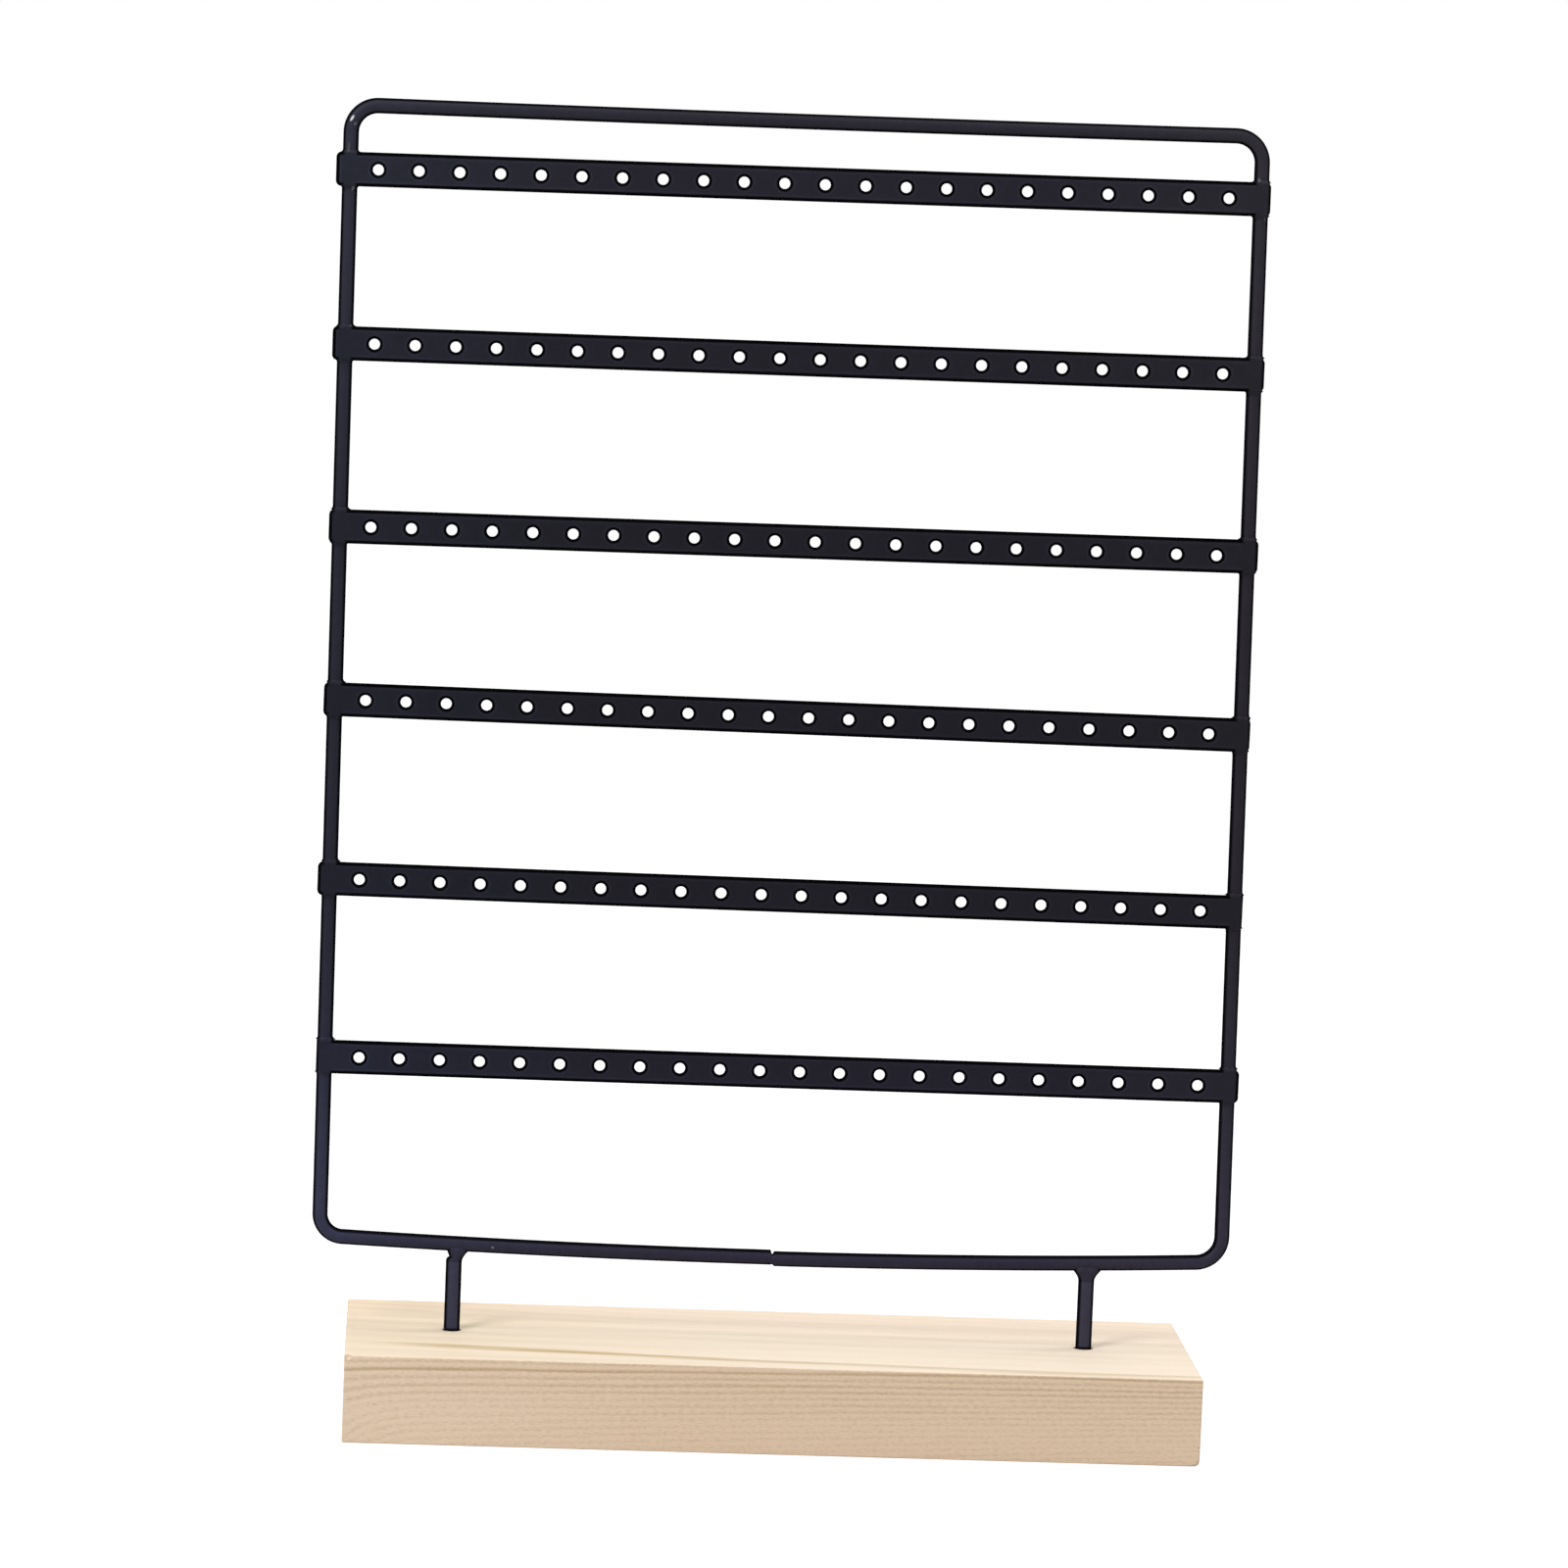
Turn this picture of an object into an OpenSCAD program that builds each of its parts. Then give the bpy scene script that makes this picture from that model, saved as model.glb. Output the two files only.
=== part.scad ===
// Earring display stand: six perforated steel strips welded across a bent-wire frame,
// which stands on two short posts in a solid wood block.
// The origin is the centre of the block's underside, +Z is up and the hook strips face -Y.

/* [Hook strips] */
// Distance between neighbouring hook holes along a strip
hole_pitch = 11; // [9:0.5:13]
// Number of hook holes in each strip
hole_count = 22; // [18:1:26]
// Diameter of a hook hole
hole_d = 3.2; // [2.4:0.1:4.2]
// Softened rim round each hook hole, on both faces
hole_rim = 0.3; // [0.15:0.05:0.35]
// Distance from the last hook hole to the end of the strip
strip_margin = 11.4; // [9:0.1:16]
// Height of a strip
strip_h = 9.3; // [7.5:0.1:12]
// Thickness of a strip
strip_t = 1.2; // [1:0.1:2]
// Radius of a strip's four corners
strip_corner_r = 1.5; // [0.5:0.1:3]
// Rounding of a strip's long edges
strip_edge_r = 0.45; // [0.1:0.05:0.45]

/* [Frame] */
// Diameter of the frame's round wire, with its coat
wire_d = 4.2; // [3.6:0.1:5.5]
// Radius of the frame's four bends, at the wire's centre line
bend_r = 8.5; // [6:0.5:10]
// How far a strip reaches past the side wires, at the frame's wide bottom
strip_overhang = 0.1; // [-0.4:0.1:3]
// From the top wire's centre line down to the first strip's middle
top_gap = 17.3; // [16.5:0.1:40]
// From one strip's middle to the next
tier_gap = 48.6; // [30:0.1:70]
// From the last strip's middle down to the centre line of the bottom wire's ends
bottom_gap = 49.9; // [20:0.1:70]
// How far the bottom wire sags in its middle
wire_sag = 2.6; // [1:0.1:4]
// How much narrower the frame is at its top
frame_taper = 1.8; // [0:0.1:4]
// How far the frame's top stands to the left of its bottom
frame_lean = 2; // [-3:0.1:3]
// How much higher the right end of the top wire is than its left end
top_rise = 0.9; // [-2:0.1:2]

/* [Hand-welded strips] */
// How far each strip sits above an even spacing, from the top one down
strip_lift = [0.2, 1.4, 0.3, 0.7, 0.2, 0]; // [-2:0.1:2]
// How far each strip sits to the right of the frame's middle line
strip_shift = [-0.7, -0.5, -0.2, -0.4, -0.8, 0.4]; // [-1:0.1:1]
// How much each strip climbs to the right, in degrees
strip_tilt = [0.25, 0.1, 0.1, -0.3, -0.25, -0.1]; // [-0.5:0.05:0.5]

/* [Welds] */
// Height of the weld fillets above and below a strip, and their reach along it
weld_leg = 0.8; // [0.4:0.1:0.8]
// How far a strip's weld runs back along the side wire's flank
weld_depth = 1; // [0.6:0.1:1.4]
// Width of the butt weld between the wire's two ends
butt_w = 1.1; // [0.6:0.1:2]
// How far the butt weld's diameter is ground down below the wire's
butt_ground = 0.9; // [0.1:0.1:1.2]
// Place of the butt weld along the bottom wire, from the stand's middle
butt_x = 0.2; // [-20:0.1:20]
// How much higher the wire's left end is than its right end at the butt weld
butt_step = 0.4; // [0.1:0.1:0.8]
// How far the weld at the top of a post flares out along the bottom wire
flare_w = 1.5; // [0.6:0.1:2]
// Height of that flare
flare_h = 3; // [1.5:0.1:4]
// Radius of the groove that the left post's weld leaves open on its outer side
neck_gap_r = 1.2; // [0.6:0.1:1.5]
// Thickness of the weld left over that groove, under the bottom wire
neck_lip = 0.3; // [0.2:0.1:0.8]

/* [Posts] */
// Diameter of a post
post_d = 4.4; // [4:0.1:5.5]
// Distance between the two posts' centre lines
post_spacing = 175; // [140:1:180]
// Depth of a post's blind hole in the block
post_depth = 14; // [8:0.5:16]
// Gap all round a post in its hole
post_clearance = 0.3; // [0.1:0.05:0.6]
// From the block's top up to the centre line of the bottom wire's ends
frame_rise = 25.3; // [18:0.1:45]

/* [Wood block] */
// Length of the block
block_w = 233; // [200:1:290]
// Depth of the block, front to back
block_d = 82; // [60:1:110]
// Height of the block
block_h = 24; // [20:0.5:40]
// Easing of all the block's edges
block_ease = 0.5; // [0.2:0.1:1.5]
// Size of the chip out of the block's top left front corner
chip_r = 1.5; // [0.5:0.1:3]
// Size of the worn bottom right front corner
worn_corner = 1.2; // [0.5:0.1:3]
// Size of the dent in the right front edge
dent_r = 0.6; // [0.3:0.1:1.5]
// Height of that dent above the underside
dent_z = 5.2; // [4:0.1:15]

/* [Hidden] */
tiers = len(strip_lift);
tier_numbers = [1 : tiers];
function strip_name(k) = str("hook_strip_", k);
function weld_name(side, k) = str("strip_weld_", side < 0 ? "left_" : "right_", k);

coat_colour = [0.14, 0.15, 0.19];
wire_colour = [0.19, 0.19, 0.24];
wood_colour = [0.94, 0.86, 0.75];

// Facets that the preview uses for round shapes
$fn = 48;
// How far a cut runs past the face that it opens
fine = 0.01;

wire_r = wire_d / 2;
strip_len = (hole_count - 1) * hole_pitch + 2 * strip_margin;

// The frame's corners, as the crossings of its centre lines
bottom_half = strip_len / 2 - strip_overhang - wire_r;
top_half = bottom_half - frame_taper / 2;
bottom_z = block_h + frame_rise;
last_strip_z = bottom_z + bottom_gap;
first_strip_z = last_strip_z + (tiers - 1) * tier_gap;
top_z = first_strip_z + top_gap;
corner_br = [bottom_half, bottom_z];
corner_tr = [top_half - frame_lean, top_z + top_rise / 2];
corner_tl = [-top_half - frame_lean, top_z - top_rise / 2];
corner_bl = [-bottom_half, bottom_z];

// The bottom wire hangs in a shallow parabola, drawn as short straight runs
bow_runs = 3;
function butt_z(side) = bottom_z - wire_sag - side * butt_step / 2;
function bow_point(side, u) =
    let (corner = side < 0 ? corner_bl : corner_br)
    [butt_x + u * (corner.x - butt_x), butt_z(side) + u * u * (corner.y - butt_z(side))];
function bow(side) = [for (i = [1 : bow_runs - 1]) bow_point(side, i / bow_runs)];
function reversed(list) = [for (i = [len(list) - 1 : -1 : 0]) list[i]];

// The wire's path, from the butt weld round to the right and back to it from the left
path = concat(
    [[butt_x + butt_w / 2, butt_z(1)]], bow(1), [corner_br, corner_tr, corner_tl, corner_bl],
    reversed(bow(-1)), [[butt_x - butt_w / 2, butt_z(-1)]]
);
last_point = len(path) - 1;
function is_corner(i) = i >= bow_runs && i < bow_runs + 4;
function heading(i) =
    let (step = path[i + 1] - path[i])
    atan2(step.y, step.x);
function turn(i) =
    i == 0 || i == last_point ? 0 : (heading(i) - heading(i - 1) + 720) % 360;
// A corner turns by a true quarter bend, and the rest of its turn goes into two mitres
stub = 1;
// How far a run is drawn past the mitre planes that cut it
spare = 0.5;
function half_mitre(i) = is_corner(i) ? (turn(i) - 90) / 4 : turn(i) / 2;
function turn_leg(i) = is_corner(i) ? (bend_r + stub) / (sqrt(2) * cos(turn(i) / 2)) : 0;
function run_length(i) = norm(path[i + 1] - path[i]) - turn_leg(i) - turn_leg(i + 1);

// Height of the bottom wire's centre line over a place on the block
bottom_line = concat([corner_bl], reversed(bow(-1)), bow(1), [corner_br]);
function bottom_wire_z(x) = lookup(x, bottom_line);

// A side wire's centre line at a height, and the middle line between the two
function side_share(z) = (z - bottom_z) / (top_z - bottom_z);
function middle_x(z) = -frame_lean * side_share(z);
function side_x(side, z) = middle_x(z) + side * (bottom_half - side_share(z) * frame_taper / 2);

function strip_z(k) = first_strip_z - (k - 1) * tier_gap + strip_lift[k - 1];
function strip_x(k) = middle_x(strip_z(k)) + strip_shift[k - 1];

// A post's top reaches up the wire's round underside by this share of the wire's radius
saddle_share = 0.4;
saddle_drop = wire_r * (1 - saddle_share);
post_floor_z = block_h - post_depth;
function post_x(side) = side * post_spacing / 2;
function saddle_z(side) = bottom_wire_z(post_x(side)) - saddle_drop;
function wire_underside(side) = bottom_wire_z(post_x(side)) - wire_r;
// Half the depth of a post's flared weld, as a share of the wire's radius
flare_share = 0.9;

// A strip weld's reach to each side of the wire's middle line, as shares of the wire's radius:
// its outer side, its tips over and under the strip, and the seam it leaves open between them
outer_share = 0.8;
tip_share = 0.5;
seam_share = 0.35;

module along_x() {
    rotate([90, 0, 90]) children();
}

module along_y() {
    rotate([90, 0, 0]) children();
}

// A flat rectangle with round corners, centred
module round_rectangle(w, h, r) {
    square([w - 2 * r, h], center = true);
    square([w, h - 2 * r], center = true);
    for (x = [-1, 1], y = [-1, 1]) {
        translate([x * (w / 2 - r), y * (h / 2 - r)]) circle(r = r);
    }
}

// A flat rectangle with cut corners, centred
module cut_rectangle(w, h, c) {
    polygon([
        [-w / 2 + c, -h / 2], [w / 2 - c, -h / 2], [w / 2, -h / 2 + c], [w / 2, h / 2 - c],
        [w / 2 - c, h / 2], [-w / 2 + c, h / 2], [-w / 2, h / 2 - c], [-w / 2, -h / 2 + c]
    ]);
}

// The wire is drawn from one vertex of its path to the next, each run along its own +Z and
// turning towards its own +X. Neighbours end in one shared mitre plane, half the small angle
// between them to each side, so that they meet face to face
module wire_from(i) {
    run = run_length(i);
    difference() {
        half_turn(i) translate([0, 0, -spare]) cylinder(h = run + 2 * spare, r = wire_r);
        waste(-1);
        half_turn(i) translate([0, 0, run]) half_turn(i + 1) waste(1);
    }
    if (i + 1 < last_point) {
        half_turn(i) translate([0, 0, run]) half_turn(i + 1) {
            if (is_corner(i + 1)) corner_from(i + 1);
            else wire_from(i + 1);
        }
    }
}

// A frame corner: a true quarter bend with a short straight stub at both ends
module corner_from(i) {
    difference() {
        half_turn(i) quarter_bend();
        waste(-1);
        half_turn(i) after_quarter_bend() half_turn(i) waste(1);
    }
    half_turn(i) after_quarter_bend() half_turn(i) wire_from(i);
}

// Half of a mitre's turn: from the run before it to the plane, or on to the run after it
module half_turn(i) {
    rotate([0, half_mitre(i), 0]) children();
}

module quarter_bend() {
    translate([0, 0, -spare]) cylinder(h = stub + spare, r = wire_r);
    translate([bend_r, 0, stub])
        rotate([90, 0, 180])
            rotate_extrude(angle = 90)
                translate([bend_r, 0]) circle(r = wire_r);
    after_quarter_bend() translate([0, 0, -stub]) cylinder(h = stub + spare, r = wire_r);
}

module after_quarter_bend() {
    translate([bend_r, 0, stub]) rotate([0, 90, 0]) translate([-bend_r, 0, stub]) children();
}

// What a mitre plane cuts off, before it or after it
module waste(side) {
    translate([-wire_d, -wire_d, side < 0 ? -2 * spare : 0]) cube([2 * wire_d, 2 * wire_d, 2 * spare]);
}

// The whole frame wire: one rod bent to a closed round-cornered rectangle
module wire_loop() {
    translate([path[0].x, 0, path[0].y]) rotate([180, -90 - heading(0), 0]) wire_from(0);
}

module frame_rod() {
    color(wire_colour) wire_loop();
}

// The ground-down weld that closes the loop at the middle of the bottom wire
module frame_butt_weld() {
    color(wire_colour)
        difference() {
            translate([butt_x - butt_w, 0, bottom_z - wire_sag - butt_ground / 2])
                along_x() cylinder(h = 2 * butt_w, d = wire_d - butt_ground);
            for (end = [0, last_point]) {
                translate([path[end].x, 0, path[end].y])
                    rotate([0, -heading(min(end, last_point - 1)), 0])
                        translate([end == 0 ? 0 : -butt_w, -wire_d, -wire_d])
                            cube([butt_w, 2 * wire_d, 2 * wire_d]);
            }
        }
}

// Puts a strip's own middle, with its back face at y = 0, on the front of the side wires
module at_strip(k) {
    translate([strip_x(k), -wire_r, strip_z(k)]) rotate([0, -strip_tilt[k - 1], 0]) children();
}

module strip_blank() {
    intersection() {
        along_y() linear_extrude(strip_t) round_rectangle(strip_len, strip_h, strip_corner_r);
        translate([-strip_len / 2, -strip_t / 2, 0])
            along_x() linear_extrude(strip_len) round_rectangle(strip_t, strip_h, strip_edge_r);
    }
}

// A hook hole with its softened rim on both faces
module hook_hole() {
    along_y() {
        cylinder(h = strip_t, d = hole_d);
        cylinder(h = hole_rim, d1 = hole_d + 2 * hole_rim, d2 = hole_d);
        translate([0, 0, strip_t - hole_rim])
            cylinder(h = hole_rim, d1 = hole_d, d2 = hole_d + 2 * hole_rim);
    }
}

module hook_strip(k) {
    color(coat_colour)
        at_strip(k) difference() {
            strip_blank();
            for (i = [0 : hole_count - 1]) {
                translate([(i - (hole_count - 1) / 2) * hole_pitch, 0, 0]) hook_hole();
            }
        }
}

// The weld between a strip and a side wire: a fillet over and under the strip's edges, run
// back along the wire's flanks behind it
module strip_weld(side, k) {
    inner = wire_r + weld_leg;
    outer = wire_r * outer_share;
    tip = wire_r * tip_share;
    edge = strip_h / 2;
    seam = wire_r * seam_share;
    color(coat_colour)
        difference() {
            at_strip(k) translate([side_x(side, strip_z(k)) - strip_x(k), 0, 0]) difference() {
                intersection() {
                    translate([0, weld_depth, 0])
                        along_y() linear_extrude(weld_depth + weld_leg) mirror([side > 0 ? 1 : 0, 0])
                            polygon([
                                [-outer, -edge], [-tip, -edge - weld_leg], [tip, -edge - weld_leg],
                                [inner, -edge], [inner, edge], [tip, edge + weld_leg],
                                [-tip, edge + weld_leg], [-outer, edge]
                            ]);
                    translate([-inner, 0, 0])
                        along_x() linear_extrude(2 * inner) difference() {
                            translate([-weld_leg, -edge - weld_leg])
                                square([weld_depth + weld_leg, strip_h + 2 * weld_leg]);
                            for (z = [-1, 1]) {
                                translate([-weld_leg, z * (edge + weld_leg)]) circle(r = weld_leg);
                            }
                        }
                }
                translate([-2 * inner, -strip_t, -edge]) cube([4 * inner, strip_t, strip_h]);
                translate([-seam, -fine, -edge]) cube([2 * seam, weld_depth + 2 * fine, strip_h]);
            }
            wire_loop();
        }
}

// A short round post, from the floor of its blind hole up to the bottom wire
module post(side) {
    color(wire_colour)
        difference() {
            translate([post_x(side), 0, post_floor_z])
                cylinder(h = saddle_z(side) - post_floor_z, d = post_d);
            wire_loop();
            if (side < 0) neck_groove();
        }
}

// A groove across the left post's outer side, just under the bottom wire
module neck_groove() {
    translate([post_x(-1) - post_d / 2, post_d, wire_underside(-1) - neck_lip - neck_gap_r])
        along_y() cylinder(h = 2 * post_d, r = neck_gap_r);
}

// The flared weld at a post's top, no deeper than the wire: on both sides of the right post, and
// on the inner side of the left one
module post_weld(side) {
    foot_z = wire_underside(side) - flare_h;
    top_r = post_d / 2 + flare_w;
    half_depth = wire_r * flare_share;
    flare_r = (flare_w * flare_w + flare_h * flare_h) / (2 * flare_w);
    color(wire_colour)
        difference() {
            translate([post_x(side), 0, foot_z]) intersection() {
                rotate_extrude() difference() {
                    square([top_r, saddle_z(side) - foot_z]);
                    translate([post_d / 2 + flare_r, 0]) circle(r = flare_r);
                }
                translate([side < 0 ? 0 : -top_r, -half_depth, 0])
                    cube([2 * top_r, 2 * half_depth, saddle_z(side) - foot_z]);
            }
            translate([post_x(side), 0, post_floor_z])
                cylinder(h = saddle_z(side), d = post_d);
            wire_loop();
        }
}

// The solid wood block with a blind hole for each post and the marks of use at its corners
module base_block() {
    half_w = block_w / 2;
    half_d = block_d / 2;
    color(wood_colour)
        difference() {
            intersection() {
                linear_extrude(block_h) cut_rectangle(block_w, block_d, block_ease);
                translate([0, half_d, block_h / 2])
                    along_y() linear_extrude(block_d) cut_rectangle(block_w, block_h, block_ease);
                translate([-half_w, 0, block_h / 2])
                    along_x() linear_extrude(block_w) cut_rectangle(block_d, block_h, block_ease);
            }
            for (side = [-1, 1]) {
                translate([post_x(side), 0, post_floor_z])
                    cylinder(h = post_depth + fine, d = post_d + 2 * post_clearance);
            }
            translate([-half_w + chip_r, -half_d - chip_r / 2, block_h - chip_r / 2])
                sphere(r = chip_r);
            translate([half_w, -half_d, 0])
                rotate([0, 45, 0])
                    cube([worn_corner * sqrt(2), 4 * worn_corner, worn_corner * sqrt(2)], center = true);
            translate([half_w, -half_d, dent_z]) sphere(r = dent_r);
        }
}

base_block();
post(-1);  // post_left
post(1);  // post_right
frame_rod();
frame_butt_weld();
post_weld(-1);  // post_weld_left
post_weld(1);  // post_weld_right
for (k = tier_numbers) {
    hook_strip(k);
    strip_weld(-1, k);
    strip_weld(1, k);
}
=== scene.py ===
"""Earring display stand: six perforated strips welded to a bent wire frame on a pine block.

The packed model is loaded as a fixed frame, and each operator builds the pieces that stand for
some of its nodes. Lengths are in metres. +Z is up, and the hook strips face -Y.
"""

from math import cos, radians, sin, sqrt

import bmesh
import bpy
import numpy as np
from bpy.props import FloatProperty, FloatVectorProperty, IntProperty, PointerProperty
from bpy.types import Operator, Panel, PropertyGroup
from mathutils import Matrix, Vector


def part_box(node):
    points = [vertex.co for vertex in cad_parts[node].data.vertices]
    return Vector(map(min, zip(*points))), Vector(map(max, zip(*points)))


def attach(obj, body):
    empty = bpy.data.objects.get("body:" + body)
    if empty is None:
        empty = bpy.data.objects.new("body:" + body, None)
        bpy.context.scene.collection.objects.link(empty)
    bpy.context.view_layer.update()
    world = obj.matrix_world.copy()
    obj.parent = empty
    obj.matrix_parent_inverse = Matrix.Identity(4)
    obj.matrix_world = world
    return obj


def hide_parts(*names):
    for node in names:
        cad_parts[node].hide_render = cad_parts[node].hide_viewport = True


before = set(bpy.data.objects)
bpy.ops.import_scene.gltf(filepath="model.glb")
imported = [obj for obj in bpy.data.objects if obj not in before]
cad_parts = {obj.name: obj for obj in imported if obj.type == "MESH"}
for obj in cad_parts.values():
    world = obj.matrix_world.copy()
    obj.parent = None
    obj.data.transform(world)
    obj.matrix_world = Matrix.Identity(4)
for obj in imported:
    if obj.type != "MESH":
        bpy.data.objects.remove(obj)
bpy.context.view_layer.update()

bl_info = {
    "name": "Earring display stand",
    "version": (1, 0, 0),
    "blender": (4, 5, 0),
    "location": "View3D > Sidebar > Stand",
    "description": "Builds an earring display stand of perforated strips, bent wire and pine",
    "category": "Object",
}

MM = 0.001
TIERS = (1, 2, 3, 4, 5, 6)
SIDES = {"left": -1, "right": 1}
# From the stand's middle to a post
POST_X = 87.5 * MM
# The axes of an array of points that a strip's tilt turns
X, Z = 0, 2
# Points closer than this are one point
MERGE = 0.001 * MM


# Settings


def size(name, description, mm, most=500.0):
    """A length setting, given in millimetres and kept in metres."""
    return FloatProperty(
        name=name, description=description, default=mm * MM, min=0, max=most * MM, precision=5,
        unit="LENGTH", subtype="DISTANCE",
    )


def share(name, description, default):
    """A setting from 0 to 1."""
    return FloatProperty(
        name=name, description=description, default=default, min=0, max=1, subtype="FACTOR"
    )


def light_of(level):
    """A colour channel of 0 to 255 turned to linear light, by the usual curve of a screen."""
    part = level / 255
    return part / 12.92 if part <= 0.04045 else ((part + 0.055) / 1.055) ** 2.4


def colour(name, description, red, green, blue):
    """A colour setting, given as 0 to 255 and kept as linear light."""
    return FloatVectorProperty(
        name=name, description=description, size=3, min=0, max=1, subtype="COLOR",
        default=(light_of(red), light_of(green), light_of(blue)),
    )


class StandWireSettings(PropertyGroup):
    """The frame's round wire."""

    diameter: size("Diameter", "Diameter of the frame's wire, with its coat", 4.2)
    bend: size("Bend radius", "Radius of three corners at the wire's middle", 7.3)
    last_bend: size("Last bend radius", "Radius of the bottom left corner", 6.4)
    half_bottom: size("Half width", "From the middle to a side wire at the bottom", 124.7)
    bottom: size("Bottom wire height", "Height of the bottom wire's ends", 49.3)
    top: size("Top wire height", "Height of the top wire's middle", 359.5)
    taper: size("Taper", "How much narrower the frame is at its top", 1.8)
    lean: size("Lean", "How far the frame's top stands to the left", 2.0)
    rise: size("Rise", "How much higher the top wire's right end is", 0.9)
    sag: size("Sag", "How far the bottom wire sags in its middle", 2.6)
    top_sag: size("Top sag", "How far the top wire sags in its middle", 0.27)
    butt: size("Butt weld place", "From the middle to the butt weld", 0.2)
    butt_width: size("Butt weld width", "Distance between the wire's two ends", 0.7)
    butt_step: size("Butt weld step", "How much higher the wire's left end is", 0.4)
    end_round: size("End rounding", "Rounding of the wire's two ground ends", 0.4)
    steps: IntProperty(name="Points round", description="Points round the wire", default=64, min=16)


class StandStripSettings(PropertyGroup):
    """The perforated strips."""

    length: size("Length", "Length of a strip", 253.8)
    height: size("Height", "Height of a strip", 9.3)
    thickness: size("Thickness", "Thickness of a strip", 1.2)
    corner: size("Corner radius", "Radius of a strip's corners", 1.5)
    edge: size("Edge rounding", "Rounding of a strip's long edges", 0.45)
    pitch: size("Hole pitch", "Distance between neighbouring holes", 11)
    hole: size("Hole diameter", "Diameter of a hook hole, with its coat", 2.95)
    rim: size("Hole rim", "Rounding of a hook hole's rim", 0.35)
    holes: IntProperty(name="Holes", description="Number of holes in a strip", default=22, min=2)


class StandWeldSettings(PropertyGroup):
    """The welds at the strips, the posts and the butt joint."""

    leg: size("Inner leg", "Reach of a strip's weld on the inner side of the wire", 0.85)
    outer_leg: size("Outer leg", "Reach of a strip's weld on the wire's outer side", 0.6)
    spread: size("Spread", "Reach of a strip's weld along the wire", 0.95)
    flare: size("Flare", "Reach of a post's weld along the bottom wire", 1.5)
    flare_height: size("Flare height", "Height of a post's weld", 2.8)


class StandPostSettings(PropertyGroup):
    """The two short posts."""

    diameter: size("Diameter", "Diameter of a post", 4.4)
    undercut: size("Undercut", "Depth of the gap left open beside the left post's weld", 0.9)


class StandBlockSettings(PropertyGroup):
    """The pine block."""

    easing: size("Easing", "Rounding of the block's edges", 0.35)
    hole: size("Post hole", "Diameter of the blind hole of a post", 5.0)
    hole_depth: size("Hole depth", "Depth of the blind hole of a post", 14.0)
    chip: size("Chip", "Size of the chip at the top left front corner", 1.1)
    wear: size("Wear", "Extra rounding of the bottom right front corner", 1.1)
    dent: size("Dent", "Size of the dent in the right front edge", 0.7)
    dent_height: size("Dent height", "Height of that dent", 5.2)
    ring: size("Ring width", "Distance from one growth ring to the next", 1.8)
    early: colour("Early wood", "Colour of the wide pale bands", 249, 233, 212)
    late: colour("Late wood", "Colour of the thin dark bands", 192, 167, 128)


class StandCoatSettings(PropertyGroup):
    """The baked coat on all the metal."""

    strip: colour("Strip face", "Colour of the coat on the strips", 35, 34, 43)
    wire: colour("Wire face", "Colour of the coat on the wires", 45, 43, 53)
    # The posts' face is lighter than the wires': painted light, as bounced up from the block
    post: colour("Post face", "Colour of the coat on the posts", 56, 55, 65)
    # The near-black colour of the painted shade along the strips' outlines and round their holes
    edge: colour("Edges", "Colour of the coat on the strips' edges", 8, 8, 11)
    # The near-black colour of the painted shade on the wires' flanks
    flank_shade_colour: colour("Flanks", "Colour of the coat on the wires' flanks", 13, 12, 17)
    # Widths of the lines of painted shade along a strip's outline and round its holes
    edge_width: size("Edge width", "Width of the dark line along a strip's outline", 0.95)
    hole_shade_width: size("Ring width", "Width of the dark ring round a hole", 0.78)
    roughness: share("Roughness", "Roughness of the coat", 0.42)
    gloss: share("Gloss", "Strength of the coat's reflections, away from its edges", 0.14)


class StandStageSettings(PropertyGroup):
    """The camera, the floor and the lights."""

    camera: FloatVectorProperty(
        name="Camera place", description="Where the camera stands", size=3, unit="LENGTH",
        subtype="TRANSLATION", default=(-0.104648, -1.882393, 0.388188),
    )
    turn: FloatVectorProperty(
        name="Camera turn", description="How the camera is turned", size=3, unit="ROTATION",
        subtype="EULER",
        default=(radians(83.64561793), radians(-2.26067264), radians(-2.87843797)),
    )
    lens: FloatProperty(
        name="Lens", description="Focal length in millimetres on a 36 mm frame",
        default=158.913, min=1,
    )
    ambient: FloatProperty(
        name="Ambient light", description="Even light from all round", default=0.35, min=0
    )


GROUPS = {
    "stand_wire": StandWireSettings,
    "stand_strips": StandStripSettings,
    "stand_welds": StandWeldSettings,
    "stand_posts": StandPostSettings,
    "stand_block": StandBlockSettings,
    "stand_coat": StandCoatSettings,
    "stand_stage": StandStageSettings,
}


# Meshes


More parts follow.
